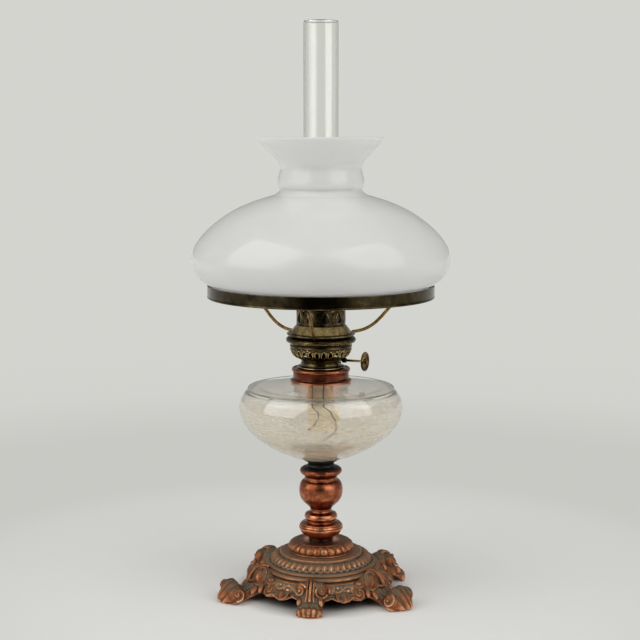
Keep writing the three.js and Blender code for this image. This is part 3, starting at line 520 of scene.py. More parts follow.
def relief(obj, depth_mm=0.5, rounds=8, painted_light_and_rubbing_bands=()):
    """Paints how far each point stands above the surface round it, as -1 to 1.

    The surface round a point is the mesh smoothed a number of rounds. Rubbing and dust read
    this: the hand rubs what stands out, and dirt stays in what lies deep. The bands are (from
    height, to height, level), given one by one: painted shade low on the stem foot, a painted
    highlight on the burner's skirt, the knob darker below 250 mm, and rubbing at two joints."""
    points = corners(obj)
    edges = np.empty(len(obj.data.edges) * 2, int)
    obj.data.edges.foreach_get("vertices", edges)
    here = np.concatenate([edges[::2], edges[1::2]])
    there = np.concatenate([edges[1::2], edges[::2]])
    count = np.bincount(here, minlength=len(points))[:, None].clip(1)
    soft = points
    for _ in range(rounds):
        summed = [np.bincount(here, along[there], len(points)) for along in soft.T]
        soft = (soft + np.stack(summed, axis=1) / count) / 2
    proud = np.clip(((points - soft) * corners(obj, "normal")).sum(axis=1) / depth_mm, -1, 1)
    for low, high, level in painted_light_and_rubbing_bands:
        proud[(points[:, 2] > low) & (points[:, 2] < high)] = level
    paint(obj, "relief", proud)


def finish(obj, material, body, slot, *nodes):
    """Shrinks a piece from mm to metres, gives it its finish and ties it to the frame."""
    moved(obj, Matrix.Scale(MM, 4))
    select_only(obj)
    bpy.ops.object.shade_smooth_by_angle(angle=SMOOTH_BELOW)
    obj.data.materials.clear()
    obj.data.materials.append(material)
    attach(obj, body)
    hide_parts(*nodes)
    low, high = corners(obj).min(axis=0) / MM, corners(obj).max(axis=0) / MM
    print(obj.name, "mm", low.round(1).tolist(), high.round(1).tolist(), len(obj.data.polygons))


# %% [markdown]
# ## Metals
# The base is a casting that was bronzed brown. Hands have rubbed copper through on what
# stands out, and grey-green dust sits in what lies deep, so its colour reads the relief of
# the mesh together with some noise. The stem is plated copper, turned smooth and glossy.


# %% Metal
PROUD_SHARE, SPOT_SHARE, GRIT_SHARE = 0.5, 0.5, 0.3
FOOT_DUST, DUST_REACH = 0.14, 0.016
FACING_UP = (0.2, 0.9)
BASE_LEVEL, DUST_METALLIC = 0.1, 0.15
BARE = (0.0, 0.1)


def worn_metal(name, stops, rough, grit_mm, spot_mm, bump_mm, dust=BARE, shift=0, top_dust_and_shade=0):
    """A metal whose colour runs over stops from deep to proud, with dust in the depths. Faces that look up
    are darkened: dust on the castings, painted shade on the copper.
    """
    material, tree = new_material(name)
    spots = grain(tree, spot_mm, detail=5, distortion=0.4)
    grit = grain(tree, grit_mm, detail=2)
    terms = [(painted(tree, "relief"), PROUD_SHARE), (spots, SPOT_SHARE), (grit, GRIT_SHARE)]
    if top_dust_and_shade:
        z = height_of(tree, own_place(tree))
        up = height_of(tree, add(tree, "NewGeometry").outputs["Normal"])
        terms.append((spread(tree, z, 0.0, DUST_REACH, FOOT_DUST, 0), 1.0))
        # faces that look up are darkened: dust on the castings, and painted shade on the copper stem
        terms.append((spread(tree, up, *FACING_UP, 0, -top_dust_and_shade), 1.0))
    level = maths(tree, "ADD", total(tree, *terms), BASE_LEVEL + shift)
    inputs = {
        "Base Color": ramp(tree, level, stops),
        "Metallic": spread(tree, level, *dust, DUST_METALLIC, 1.0),
        "Roughness": spread(tree, level, dust[0], 1.0, *rough),
        "Normal": bumped(tree, total(tree, (grit, 0.6), (spots, 0.4)), bump_mm),
    }
    surfaced(tree, inputs)
    return material


DUSTY_TONES = [(0.18, "282019"), (0.36, "6E6351"), (0.55, "846A53"), (0.74, "A97653"), (0.95, "E6B48C")]
CASTING_TONES = [(0.1, "2E281E"), (0.29, "746A56"), (0.44, "6F523D"), (0.62, "A6643F"), (0.88, "F2BC92")]
COPPER_TONES = [(0.28, "28130C"), (0.44, "663320"), (0.6, "A65D3E"), (0.82, "E8A67A")]
COLLAR_TONES = [(0.24, "1E0C08"), (0.44, "4A2519"), (0.6, "703A29"), (0.85, "BC7654")]
SHEET_TONES = [(0.22, "110D09"), (0.45, "34291A"), (0.63, "6A5A39"), (0.85, "D4BD84")]
WIRE_TONES = [(0.2, "2E200F"), (0.42, "5C4520"), (0.6, "88672F"), (0.85, "DDBE78")]
BAND_TONES = [(0.2, "0D0A07"), (0.5, "282218"), (0.7, "4E442F"), (0.92, "AC9C74")]
STEEL_TONES = [(0.2, "4A4947"), (0.6, "77756F"), (0.9, "9C9A94")]

dusty_casting = worn_metal(
    "dusty_bronzed_casting", DUSTY_TONES, rough=(0.75, 0.36), dust=(0.28, 0.72),
    grit_mm=0.9, spot_mm=7, bump_mm=0.45, top_dust_and_shade=0.1,
)
casting = worn_metal(
    "rubbed_bronzed_casting", CASTING_TONES, rough=(0.7, 0.26), dust=(0.2, 0.5),
    grit_mm=0.9, spot_mm=8, bump_mm=0.35, top_dust_and_shade=0.2,
)
# a lighter, smoother copy of the casting for the petals: the lighter colour is painted highlight
petal_casting_painted_highlight = worn_metal(
    "bronzed_casting_painted_lighter", CASTING_TONES, rough=(0.6, 0.2), dust=(0.2, 0.45),
    grit_mm=0.9, spot_mm=6, bump_mm=0.3, shift=0.07, top_dust_and_shade=0.1,
)
# the copper's faces that look up take painted shade
copper = worn_metal(
    "worn_copper_plate", COPPER_TONES, rough=(0.42, 0.16), dust=(0.1, 0.25),
    grit_mm=0.7, spot_mm=6, bump_mm=0.14, shift=-0.04, top_dust_and_shade=0.09,
)
# a lighter copy of the copper for the stem foot: its lighter colour is painted highlight for the bright
# bands its ridges catch, and it is a little smoother
foot_copper_painted_highlight = worn_metal(
    "copper_plate_painted_lighter", COPPER_TONES, rough=(0.36, 0.16), dust=(0.1, 0.25),
    grit_mm=0.7, spot_mm=6, bump_mm=0.1, shift=0.06, top_dust_and_shade=0.06,
)
collar_copper = worn_metal(
    "tarnished_red_copper", COLLAR_TONES, rough=(0.3, 0.16), grit_mm=0.6, spot_mm=8, bump_mm=0.05,
)
brass = worn_metal(
    "tarnished_brass_sheet", SHEET_TONES, rough=(0.34, 0.15),
    grit_mm=0.5, spot_mm=6, bump_mm=0.05, shift=-0.05,
)
wire_brass = worn_metal(
    "rubbed_brass_wire", WIRE_TONES, rough=(0.34, 0.18), grit_mm=1.6, spot_mm=9, bump_mm=0.03,
)
# dark brass of the shade ring's band; the hub and the wick tubes take it too, as painted shade where they
# sit in the dark
dark_brass_and_painted_shade = worn_metal(
    "dark_brass_band_and_painted_shade", BAND_TONES, rough=(0.24, 0.14), grit_mm=0.5, spot_mm=10, bump_mm=0.05,
)
steel = worn_metal(
    "dull_steel", STEEL_TONES, rough=(0.5, 0.35), grit_mm=0.5, spot_mm=6, bump_mm=0.04,
)
print("metals made")

# %% [markdown]
# ## Glass, cotton and plaster
# Clear glass has an IOR of 1.5 and a sharp coat over its film. The font's film is old oil,
# thicker at the bottom: where it lies, less light is transmitted and more of it is
# scattered through, in beige. Opal glass is white all through and fire-polished, so it is a
# plain white body under a sharp gloss.


# %% Glasses
GLASS_IOR = 1.5
FILM = "FFEFD0"
FILM_GLOW = 0.58
STREAK_MM = 26
STREAK_RANGE = (0.3, 0.75, 0.25, 1)
RIM_BLEND, RIM_RANGE = 0.35, (0.25, 0.95)


def clear_glass(name, tints, painted_edge_shade, film, film_heights):
    """Clear glass, tinted by height in mm, with a film on its outside and streaks in that. Its edges, where
    it faces away, are darkened as painted shade.
    """
    material, tree = new_material(name)
    z = height_of(tree, own_place(tree))
    streaks = grain(tree, STREAK_MM, detail=6, distortion=1.4, stretch=(1, 1, 4))
    low_film, high_film = (h * MM for h in film_heights)
    lift = spread(tree, z, low_film, high_film, *film)
    outer = painted(tree, "outer")
    dirt = maths(tree, "MULTIPLY", lift, spread(tree, streaks, *STREAK_RANGE))
    dirt = maths(tree, "MULTIPLY", dirt, outer)
    (low, low_tint), (high, high_tint) = tints
    body = ramp(tree, spread(tree, z, low * MM, high * MM), [(0, low_tint), (1, high_tint)])
    # painted shade: the glass turns towards the edge colour where it faces away at its edges
    rim = add(tree, "LayerWeight", {"Blend": RIM_BLEND}).outputs["Facing"]
    glass = blend(tree, spread(tree, rim, *RIM_RANGE), body, painted_edge_shade)
    inputs = {
        "Base Color": blend(tree, dirt, glass, FILM),
        "Roughness": 0.0,
        "IOR": GLASS_IOR,
        "Transmission Weight": maths(tree, "SUBTRACT", 1.0, dirt, use_clamp=True),
        "Coat Weight": outer,
        "Coat Roughness": 0.0,
        "Coat IOR": GLASS_IOR,
    }
    shader = add(tree, "BsdfPrincipled", inputs)
    through = add(tree, "BsdfTranslucent", {"Color": linear(FILM)})
    filmed = layered(tree, maths(tree, "MULTIPLY", dirt, FILM_GLOW), shader, through)
    add(tree, "OutputMaterial", {"Surface": filmed.outputs[0]})
    return material


font_glass = clear_glass(
    "filmed_font_glass", [(140, "FEFDFB"), (230, "FEFDFB")], "F6F3EC",
    film=(0.92, 0.14), film_heights=(142, 218),
)
chimney_glass = clear_glass(
    "clear_chimney_glass", [(300, "4A3D2E"), (318, "FBFBF9")], "A9ABA6",
    film=(0, 0), film_heights=(300, 600),
)

opal, tree = new_material("white_opal_glass")
milk = grain(tree, 60, detail=2)
inputs = {
    "Base Color": ramp(tree, milk, [(0.3, "E0E0DF"), (0.7, "E4E4E2")]),
    "Roughness": 0.015,
    "IOR": GLASS_IOR,
    "Subsurface Weight": 1.0,
    "Subsurface Radius": (1, 1, 1),
    "Subsurface Scale": 0.007,
}
surfaced(tree, inputs)

lacquer, tree = new_material("black_lacquer")
scuffs = grain(tree, 3, detail=5)
inputs = {
    "Base Color": ramp(tree, scuffs, [(0.35, "070605"), (0.7, "1A1410")]),
    "Roughness": spread(tree, scuffs, 0.3, 0.7, 0.35, 0.6),
    "IOR": GLASS_IOR,
    "Normal": bumped(tree, scuffs, 0.05),
}
surfaced(tree, inputs)

plaster, tree = new_material("lamp_plaster")
pores = grain(tree, 1.5, detail=6)
inputs = {
    "Base Color": ramp(tree, pores, [(0.3, "B9AF9A"), (0.7, "D6CDBA")]),
    "Roughness": 0.9,
    "IOR": GLASS_IOR,
    "Normal": bumped(tree, pores, 0.2),
}
surfaced(tree, inputs)

cotton, tree = new_material("woven_cotton_wick")
inputs = {
    "Vector": add(tree, "TexCoord").outputs["UV"],
    "Scale": 1.0,
    "Color1": linear("FBF0D8"),
    "Color2": linear("F2E2C2"),
    "Mortar": linear("D8C6A2"),
    "Mortar Size": 0.08,
    "Brick Width": 1.6,
    "Row Height": 0.8,
}
weave = add(tree, "TexBrick", inputs).outputs
soil = ramp(tree, grain(tree, 14), [(0.35, "D8C4A2"), (0.65, "F6EEDF")])
stained = blend(tree, 0.3, weave["Color"], soil, blend_type="MULTIPLY")
inputs = {
    "Base Color": blend(tree, painted(tree, "charred"), stained, "24160D"),
    "Roughness": 0.95,
    "IOR": GLASS_IOR,
    "Normal": bumped(tree, maths(tree, "SUBTRACT", 1.0, weave["Fac"]), 0.3),
}
surfaced(tree, inputs)
print("glass, lacquer, plaster and cotton made")

# %% [markdown]
# ## Shade
# The shade was blown in a mould: a foot that stands in the ring, a deep belly, a groove, a
# short neck with two rolls and a flared top. The outline follows the photograph, and the
# wall is 2.8 mm. A lathe outline is the natural way to make blown glass.

# %% Shade
shade_outline = flowing(
    [
        (116.6, 319), (117, 325), (117.6, 330.3), (121.8, 333), (128.4, 339), (133.5, 347),
        (135.45, 356.5), (133.6, 366.5), (127.6, 377), (118.5, 387.4), (109.5, 395.2),
        (97.5, 403.6), (85.5, 410.3), (70, 416.8), (55, 421.6), (49.2, 423.2), (45.6, 425.2),
        (43.3, 427.6), (43, 429.2), (44.4, 431.2), (45.2, 434.2), (45, 439.2), (43.6, 444.6),
        (42.5, 450), (43.4, 455), (46.6, 460), (51.2, 465), (56.8, 470.9), (61.6, 475.9),
        (66.2, 482.6),
    ],
    spans=5,
)
shade = blown("opal_shade", shade_outline, wall=2.8, foot=319.0, mouth=482.9, steps=160)
finish(shade, opal, "shade_body", "opal_glass", "shade")

# %% [markdown]
# ## Chimney
# The chimney is a drawn tube, opened out at its foot and pinched at the waist just above
# the wick.

# %% Chimney
chimney_outline = flowing(
    [
        *corner(24.3, 289.1), (24.35, 300), (24.2, 306), (22.9, 312.5), (19.4, 319), (16.6, 323.4),
        (15.6, 327), (16.1, 332), (17.2, 339), (17.8, 347), (18, 360), (18, 420), (18, 500),
        (18, 598.6), (17.7, 600.2), (17.1, 600.9),
    ],
    spans=4,
)
chimney = blown("clear_chimney", chimney_outline, wall=1.5, foot=289.1, mouth=600.9, steps=96)
finish(chimney, chimney_glass, "chimney_body", "chimney_glass", "chimney")

# %% [markdown]
# ## Font
# The font was blown in a mould in two sizes of curve: a deep bowl and a nearly flat
# shoulder, with a fine mould line where they meet. The wall is about 3 mm, and a stub of
# solid glass stands in the cup.

# %% Font
FONT_MIDDLE = (0, 0, 185)
font_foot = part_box("font")[0].z / MM + 0.1
bowl = flowing(
    [
        *corner(9.9, font_foot), (9.9, 143.4), (11.5, 143.9), (22.6, 145), (36.8, 149.9),
        (55.4, 159.3), (72.6, 172), (82.6, 185.5), (86.5, 199), (85.6, 206.6), (83, 212.6),
        (79.9, 217.2), *corner(77.9, 219.7), (77.4, 220.7), (76.3, 220.8), *corner(75.2, 220.6),
        (62, 222.6), (46, 224.8), (33, 226.2), (29.2, 226.9), (26.8, 228.2), (26.3, 230),
        (26.3, 237.3), (25.2, 237.8), (23.2, 237.8),
    ],
    spans=4,
)
font_hollow = flowing(
    [
        (23, 236.8), (23, 228), (24.4, 224.6), (30, 223.2), (46, 221.4), (62, 219.2), (74, 217.2),
        (79.6, 212.6), (82.6, 205.6), (83.1, 199), (79.2, 186.6), (69.8, 174.4), (53.4, 162.8),
        (36, 153.7), (22, 149.2), (10, 148), (0, 147.9),
    ],
    spans=4,
)
font = turned("blown_font", [(0, font_foot)] + bowl + font_hollow, steps=160)
paint(font, "outer", ((corners(font) - FONT_MIDDLE) * corners(font, "normal")).sum(axis=1) > 0)
finish(font, font_glass, "stand", "font_glass", "font")

# %% [markdown]
# ## Stem, cup and collar
# The stem is three turned copper pieces clamped on a rod. Above it a black cup holds the
# font, and a red copper collar is plastered on the font's neck for the burner to screw in.

# %% Stem
BORE = 4.3
RING_STEP = 1.2
STEM_STEPS = 112
BLACK_CAP_FROM = 133.1
# painted shade low on the stem foot's neck above the petal ring, and rubbed bands at two joints higher up,
# as (from height, to height, level)
JOINT_SHADE_AND_RUBBING = [(0, 59.6, -0.8), (87, 89.4, 0.2), (120.5, 122.6, 0.25)]


def face(radius, height):
    """A flat face round the bore, in rings that are fine enough to hold the wear."""
    return [(r, height) for r in np.arange(BORE, radius - RING_STEP / 2, RING_STEP)]


def on_rod(name, outline):
    """A turned piece with the rod's bore through it."""
    under, over = face(*outline[0]), face(*outline[-1])
    return turned(name, under + flowing(outline) + over[::-1], STEM_STEPS)


stem_foot = on_rod(
    "turned_stem_foot",
    [
        *corner(13, 55.3), (13.4, 57.4), (14.4, 59.2), (17.6, 60.7), (19.8, 62.4), (21.7, 64.6),
        (23, 67), (23.45, 68.6), (23.3, 69.6), (22.7, 69.9), (22.7, 70.2), (23, 70.7), (22.8, 71.6),
        (22.1, 72.5), (21.4, 72.7), (21.2, 73), (21.2, 73.4), (20.5, 73.9), *corner(19.4, 74.2),
        (17, 75), (16, 76.4), (16.3, 77.8), (17.3, 79.2), (17.7, 80.9), (17.3, 82.6),
        *corner(16.3, 84.1), (14.2, 84.9), (12.4, 85.8), (11.6, 87), (11.5, 87.9),
    ],
)
stem_ball = on_rod(
    "turned_stem_ball",
    [
        (11.5, 88.2), (11.6, 89.8), (12.8, 91.6), (15.6, 94.2), (19, 97.4), (21.2, 100.4),
        (22.5, 103.6), (23.15, 107), (23.25, 110.4), (22.9, 113.8), (22.1, 116.6), (20.6, 119.2),
        *corner(18.8, 120.7), (17.6, 121.2), (17.5, 122.4),
    ],
)
stem_cap = turned(
    "turned_stem_cap",
    face(17.1, 122.7)
    + flowing(
        [
            *corner(17.1, 122.7), (17.2, 124.4), (18.2, 125.6), (20.4, 127.3), (21.9, 129),
            (22.45, 130.6), (22, 132.3), (20.2, 133.9), *corner(18, 134.9), (16, 135.3),
            (14.6, 136.2), *corner(14.1, 137.7), (13.6, 137.7), *corner(13.6, 128.5),
        ]
    )
    + [(BORE, 128.5)],
    STEM_STEPS,
)
for piece, depth_mm, metal in (
    (stem_foot, 1.15, foot_copper_painted_highlight), (stem_ball, 1.5, copper), (stem_cap, 2.1, copper),
):
    relief(piece, depth_mm, 30, JOINT_SHADE_AND_RUBBING)
    finish(piece, metal, "stand", "copper_stem", piece.name.removeprefix("turned_"))

# above this height the cap's top takes the cup's black material, and not copper
stem_cap.data.materials.append(lacquer)
for polygon in stem_cap.data.polygons:
    if polygon.center.z > BLACK_CAP_FROM * MM:
        polygon.material_index = 1

# %% Cup
cup = rounded(
    "lacquered_cup",
    [
        *corner(BORE, 128.8), *corner(13.1, 128.8), (13.1, 137.9), (13.7, 139.2), (15.6, 140.9),
        (18, 142.3), (19.7, 143.2), (20, 143.8), (19.6, 144.2), (18.4, 143.9), (16.6, 142.9),
        (14.2, 141.5), (12.2, 139.6), (11.7, 138.2), *corner(11.7, 130.2), *corner(BORE, 130.2),
    ],
    steps=96,
)
finish(cup, lacquer, "stand", "black_cup", "font_cup")

# %% Collar
collar = rounded(
    "copper_collar_cap",
    [
        *corner(28.5, 227.7), (32.3, 227.7), (32.5, 228.5), (31.9, 229.4), (30.4, 230.1),
        *corner(30, 230.6), (29.6, 231.3), (29.5, 233.4), (29.5, 236.9), *corner(29.8, 238),
        (30.5, 238.7), (30.9, 239.7), (30.8, 240.8), (30, 241.7), (28.9, 241.6),
        *corner(28.3, 240.9), (27.2, 240.8), (26.6, 241.3), (25.6, 241.7), *corner(24.6, 241.7),
        *corner(20.4, 241.7), *corner(20.4, 232.8), *corner(21.6, 232.8), *corner(21.6, 240.2),
        *corner(28.4, 240.2),
    ],
)
relief(collar, rounds=14)
finish(collar, collar_copper, "stand", "copper_collar", "font_collar")

# %% [markdown]
# ## Burner
# The burner is spun and pierced from thin brass sheet. Each part is spun first and then
# pierced with cutters, as a press tool would: pointed ovals in the air basket, and pointed
# windows with small triangles between them in the crown.

# %% Burner neck
burner_base = rounded(
    "spun_burner_neck",
    [
        *corner(13.6, 241.75), *corner(19, 241.75), *corner(19, 233.4), *corner(19.95, 233.4),
        *corner(19.95, 242.15), (23.8, 242.2), (25, 242.8), (24.9, 243.6), (23, 244),
        *corner(21.4, 244.1), (21.5, 245.6), *corner(21.3, 247.2), (20.9, 247.6), (20.7, 248.4),
        (20.9, 249.4), *corner(21.7, 250.9), *corner(20.9, 250.9), (20, 246), (20.3, 243.4),
        (19.9, 242.7), *corner(13.6, 242.7),
    ],
)
relief(burner_base, rounds=12)
finish(burner_base, brass, "burner", "aged_brass", "burner_base")

# %% Air basket
OVALS = 28
SHEET = 0.9
basket_bowl = flowing(
    [
        (22.7, 251.5), (24.2, 252.1), (26.8, 253.6), (28.9, 255.5), (30.6, 257.8), (31.6, 260.4),
        (32.1, 263), *corner(32.2, 264.4), (33, 265), *corner(32.8, 265.9), (32.4, 267.6),
        (33.4, 268.8), (35.8, 269.5), (36.8, 270.8), (36.85, 272.2), (36.2, 273.4), (35, 274.4),
        (33.7, 275.4), (33, 276.5),
    ],
    spans=3,
)
basket = turned("pierced_basket", basket_bowl + inside_of(basket_bowl, SHEET), steps=168)


def radial_prism(name, outline, radius, depth):
    """A prism that points along +X, from an outline of (across, height) in mm."""
    return prism(name, [(radius - depth / 2, y, z) for y, z in outline], (depth, 0, 0))


def around(obj, count, shift=0.0):
    """Copies of a piece round the axis, a step of the ring apart."""
    steps = [(i + shift) * 360 / count for i in range(count)]
    copies = [copy_of(obj, f"{obj.name}_{i}", turn_about("Z", s)) for i, s in enumerate(steps)]
    bpy.data.objects.remove(obj)
    return copies


def pointed(width, low, high, belly=0.5, points=5):
    """A pointed oval between two heights, as (across, height)."""
    waist = low + (high - low) * belly
    side = [(width / 2, waist)]
    for i in range(1, points):
        t = i / points
        side.append((width / 2 * math.cos(t * math.pi / 2) ** 0.8, waist + (high - waist) * t))
    lower = [(y, waist - (z - waist) * (waist - low) / (high - waist)) for y, z in side[1:]]
    right = [(0, low)] + lower[::-1] + side + [(0, high)]
    return right + [(-y, z) for y, z in right[-2:0:-1]]


oval_cutter = radial_prism("oval", pointed(3.7, 254.0, 262.0), 29, 8)
lozenge = radial_prism("lozenge", pointed(2.2, 261.2, 264.0, points=2), 32, 6)
pierced(basket, around(oval_cutter, OVALS) + around(lozenge, OVALS, 0.5))

rim_line = [(0, y, z) for y, z in pointed(4.7, 253.4, 262.6, points=4)]
rim = wire("oval_rim", rim_line + rim_line[:2], 0.5)
BOWL_POINTS, RIM_LIFT = 30, 0.1
bowl_radius, bowl_height = np.array(basket_bowl)[:BOWL_POINTS].T


def onto_bowl(points):
    """Lays a flat ornament at its height on the basket's outside."""
    out, across, height = points.T
    radius = np.interp(height, bowl_height, bowl_radius)
    return from_polar(radius + out + RIM_LIFT, across / radius, height)


sculpt(rim, onto_bowl)
basket = joined("pierced_basket", [basket] + around(rim, OVALS))
relief(basket)
finish(basket, brass, "burner", "aged_brass", "air_basket")

# %% Gallery and crown
CROWN, WINDOWS = 25.8, 10
SKIRT_TOP, SEAT_UNDER, SEAT_TOP, WALL_FOOT = 287, 287.9, 288.75, 289.5
# painted highlight: the gallery's skirt is held at a bright level between these heights
PAINTED_SKIRT_HIGHLIGHT = [(279.4, 287.4, 0.62)]
skirt = flowing(
    [
        (32.9, 277), (32.95, 277.9), (32.4, 279.2), (30.9, 281.4), (28.9, 284.1), (27.2, 286.2),
        (26.1, 287.3), *corner(CROWN, 288), (CROWN, 292), (CROWN, 300), (CROWN, 306),
        *corner(CROWN, 310.6),
    ],
    spans=3,
)
inner_wall = [(r - SHEET, z) for r, z in skirt if z > WALL_FOOT][::-1]
seat = [(24.9, SEAT_TOP), (20.8, SEAT_TOP), (20.8, SEAT_UNDER), (25, SEAT_UNDER)]
under = inside_of([(r, z) for r, z in skirt if z < SKIRT_TOP], SHEET)
gallery = turned("pierced_gallery", skirt + inner_wall + seat + under, steps=160)
window = radial_prism("window", pointed(7.6, 290.0, 302.8, belly=0.3), CROWN, 6)
vee = radial_prism("vee", [(0, 298.0), (2.7, 303.4), (-2.7, 303.4)], CROWN, 6)
eye = radial_prism("eye", pointed(2.0, 290.0, 294.2, points=3), CROWN, 6)
slit = radial_prism("slit", [(-0.5, 306.2), (0.5, 306.2), (0.5, 312), (-0.5, 312)], CROWN, 6)
cutters = around(window, WINDOWS) + around(vee, WINDOWS, 0.5)
cutters += around(eye, WINDOWS, 0.5) + around(slit, WINDOWS, 0.5)
pierced(gallery, cutters)
relief(gallery, 0.6, painted_light_and_rubbing_bands=PAINTED_SKIRT_HIGHLIGHT)
finish(gallery, brass, "burner", "aged_brass", "chimney_gallery")

# %% [markdown]
# ## Wick raiser
# A thin spindle runs out of the burner's neck to a dished brass knob that the fingers turn.

# %% Knob and spindle
joint = next(j for j in frame["joints"] if j["name"] == "knob_turn")
spindle_at = Vector(joint["pos_m"]) / MM
outward = -Vector(joint["axis"]).normalized()
to_spindle = Matrix.Translation(spindle_at) @ turn_to(outward)
KNOB_REACH = 42.3
# the knob is held at a darker level below 250 mm
KNOB_DARKER_BELOW_250 = [(190, 250, -0.25)]
knob_outline = flowing(
    [
        (0, 0), (7.9, 0), (9.6, 0.3), (10.2, 1.3), (10.2, 2.3), (9.5, 3), (8.6, 2.6), (7.2, 1.6),
        (4.6, 1.2), (3, 1.4), (2.4, 2.3), (2.3, 3.4), (1.7, 3.8), (0, 3.85),
    ],
    spans=3,
)
knob_outline = [(r, KNOB_REACH + out) for r, out in knob_outline]
knob = moved(turned("dished_knob", knob_outline, steps=64, closed=False), to_spindle)
relief(knob, painted_light_and_rubbing_bands=KNOB_DARKER_BELOW_250)
finish(knob, wire_brass, "wick_raiser", "aged_brass", "wick_knob")
spindle = turned(
    "wick_spindle_rod",
    [
        (0, -6.3), (1.1, -6.3), (1.28, -6), (1.28, 24), (1.28, KNOB_REACH - 0.6),
        (1.1, KNOB_REACH - 0.4), (0, KNOB_REACH - 0.4),
    ],
    steps=24,
    closed=False,
)
moved(spindle, to_spindle)
relief(spindle, rounds=3)
finish(spindle, wire_brass, "wick_raiser", "aged_brass", "wick_spindle")

# %% [markdown]
# ## Shade holder
# Three brass wires are soldered to a hub that rests on the burner's lip. They sweep up to a
# dark band, riveted to the shelf that the shade stands on.

# %% Holder
ring = rounded(
    "banded_ring",
    [
        *corner(106.3, 317.5), (117.6, 317.5), (118.4, 316.9), (119.1, 317.3), (119.15, 318.2),
        *corner(118.9, 318.9), (118.95, 322), (118.95, 326.5), (118.95, 328.9), (118.9, 329.5),
        (118.4, 329.8), *corner(118, 329.5), *corner(118, 318.7), *corner(106.3, 318.7),
    ],
    steps=192,
)
relief(ring)
finish(ring, dark_brass_and_painted_shade, "shade_holder", "dark_brass", "shade_ring")

hub_outline = [
    (33.5, 277), (35.4, 277), (36, 277.9), (35.6, 278.8), (34.6, 278.85), (33.6, 278.7),
    (33.5, 277),
]
hub = turned("holder_hub_ring", flowing(hub_outline)[:-1], steps=96)
relief(hub, depth_mm=0.3, rounds=6)
# the hub takes the dark band's brass as painted shade in the gap at the skirt's foot
finish(hub, dark_brass_and_painted_shade, "shade_holder", "aged_brass", "holder_hub")

arm_line = flowing(
    [
        (36.4, 0, 277.95), (42, 0, 278.4), (51, 0, 280.3), (60.5, 0, 284.8), (68.8, 0, 291.3),
        (75.6, 0, 298), (82.5, 0, 304.4), (91, 0, 310.2), (100, 0, 314), (107, 0, 315.3),
        (113.2, 0, 315.4),
    ],
    spans=6,
)
arm = wire("bent_arm", arm_line, 1.72, roundness=8)
for i, angle in enumerate((-90, 30, 150)):
    one = copy_of(arm, f"bent_arm_{i + 1}", turn_about("Z", angle))
    paint(one, "relief", 0.2)
    finish(one, wire_brass, "shade_holder", "aged_brass", f"holder_arm_{i + 1}")
bpy.data.objects.remove(arm)

# %% [markdown]
# ## Wick
# A flat cotton wick is wrapped round the draft tube and hangs open in the font. A grid is
# rolled into that form and given its thickness, with a UV map in millimetres for the weave.

# %% Wick
WICK_MIDDLE, WICK_THICK = 10.75, 2.2
WRAPPED, HANGING = 140, 28  # half of the arc that the wick takes, in degrees
TAIL_HALF_WIDTH = 17.6
WICK_TURN = math.radians(90 - 14.5)
TUBE_MOUTH = 228.8
OPENING = 1.7  # how soon the tail has opened, against its whole length
SWAY, SWAY_SPAN = 1.1, 9
WEAVE_SIZE = (40, 150)
wick_top, wick_foot = 304.2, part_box("wick")[0].z / MM + 0.4
wick = primitive("grid", "woven_wick", x_subdivisions=48, y_subdivisions=150, size=2)


def rolled(points):
    """Wraps the grid round the draft tube, and lets it open out below the tubes."""
    across, along = points[:, 0], (points[:, 1] + 1) / 2
    height = wick_top + along * (wick_foot - wick_top)
    eased = np.clip((TUBE_MOUTH - height) / (TUBE_MOUTH - wick_foot) * OPENING, 0, 1)
    eased = eased * eased * (3 - 2 * eased)
    half_chord = WICK_MIDDLE + (TAIL_HALF_WIDTH - WICK_MIDDLE) * eased
    half_angle = np.radians(WRAPPED - (WRAPPED - HANGING) * eased)
    radius = half_chord / np.sin(np.minimum(half_angle, math.pi / 2))
    shift = WICK_MIDDLE - radius + SWAY * np.sin(height / SWAY_SPAN) * eased
    flat = from_polar(radius, WICK_TURN + half_angle * across, height)
    return flat + from_polar(shift, WICK_TURN, 0 * height)


sculpt(wick, rolled)
layer = wick.data.uv_layers[0].data
uv = np.empty(len(layer) * 2)
layer.foreach_get("uv", uv)
layer.foreach_set("uv", (uv.reshape(-1, 2) * WEAVE_SIZE).ravel())
applied(wick, "SOLIDIFY", thickness=WICK_THICK, offset=0)
loose_threads = [
    [
        (-8.4, -6.4, 226), (-8, -8.4, 208), (-6, -10.8, 200), (-1, -11.6, 191), (-4, -12, 182),
        (-13, -9, 174),
    ],
    [
        (4.8, -9.6, 226), (4, -10.6, 208), (8, -11, 200), (16.4, -6.4, 183), (15.6, -6, 172),
        (4, -12, 163.5),
    ],
]
threads = [wire(f"loose_thread_{i}", flowing(line), 0.7, 3) for i, line in enumerate(loose_threads)]
for thread in threads:
    paint(thread, "charred", 1.0)
wick = joined("woven_wick", [wick] + threads)
finish(wick, cotton, "wick_band", "cotton_wick", "wick")
print("wick from", round(wick_foot, 1), "to", wick_top, "mm")

# %% [markdown]
# ## Base casting
# The base is one casting: a hollow dome with bands of ornament, a scalloped apron, three
# large scroll feet and three small shell feet between them. The dome is spun, and its
# leaves and frieze are pushed out of the fine mesh by angle and height, the way a modeller
# works wax on a turntable.

# %% Dome
LEAVES, VINE_WAVES, PETALS = 46, 20, 26
DOME_TOP, DOME_UNDER = 43.38, 39.3
# a band of ornament: its upper edge, the direction down its slope, and its width
LEAF_BAND = ((46.0, 40.9), (0.68, 0.73), 11.2)
FRIEZE_BAND = ((63.4, 24.8), (0.56, 0.83), 13.2)
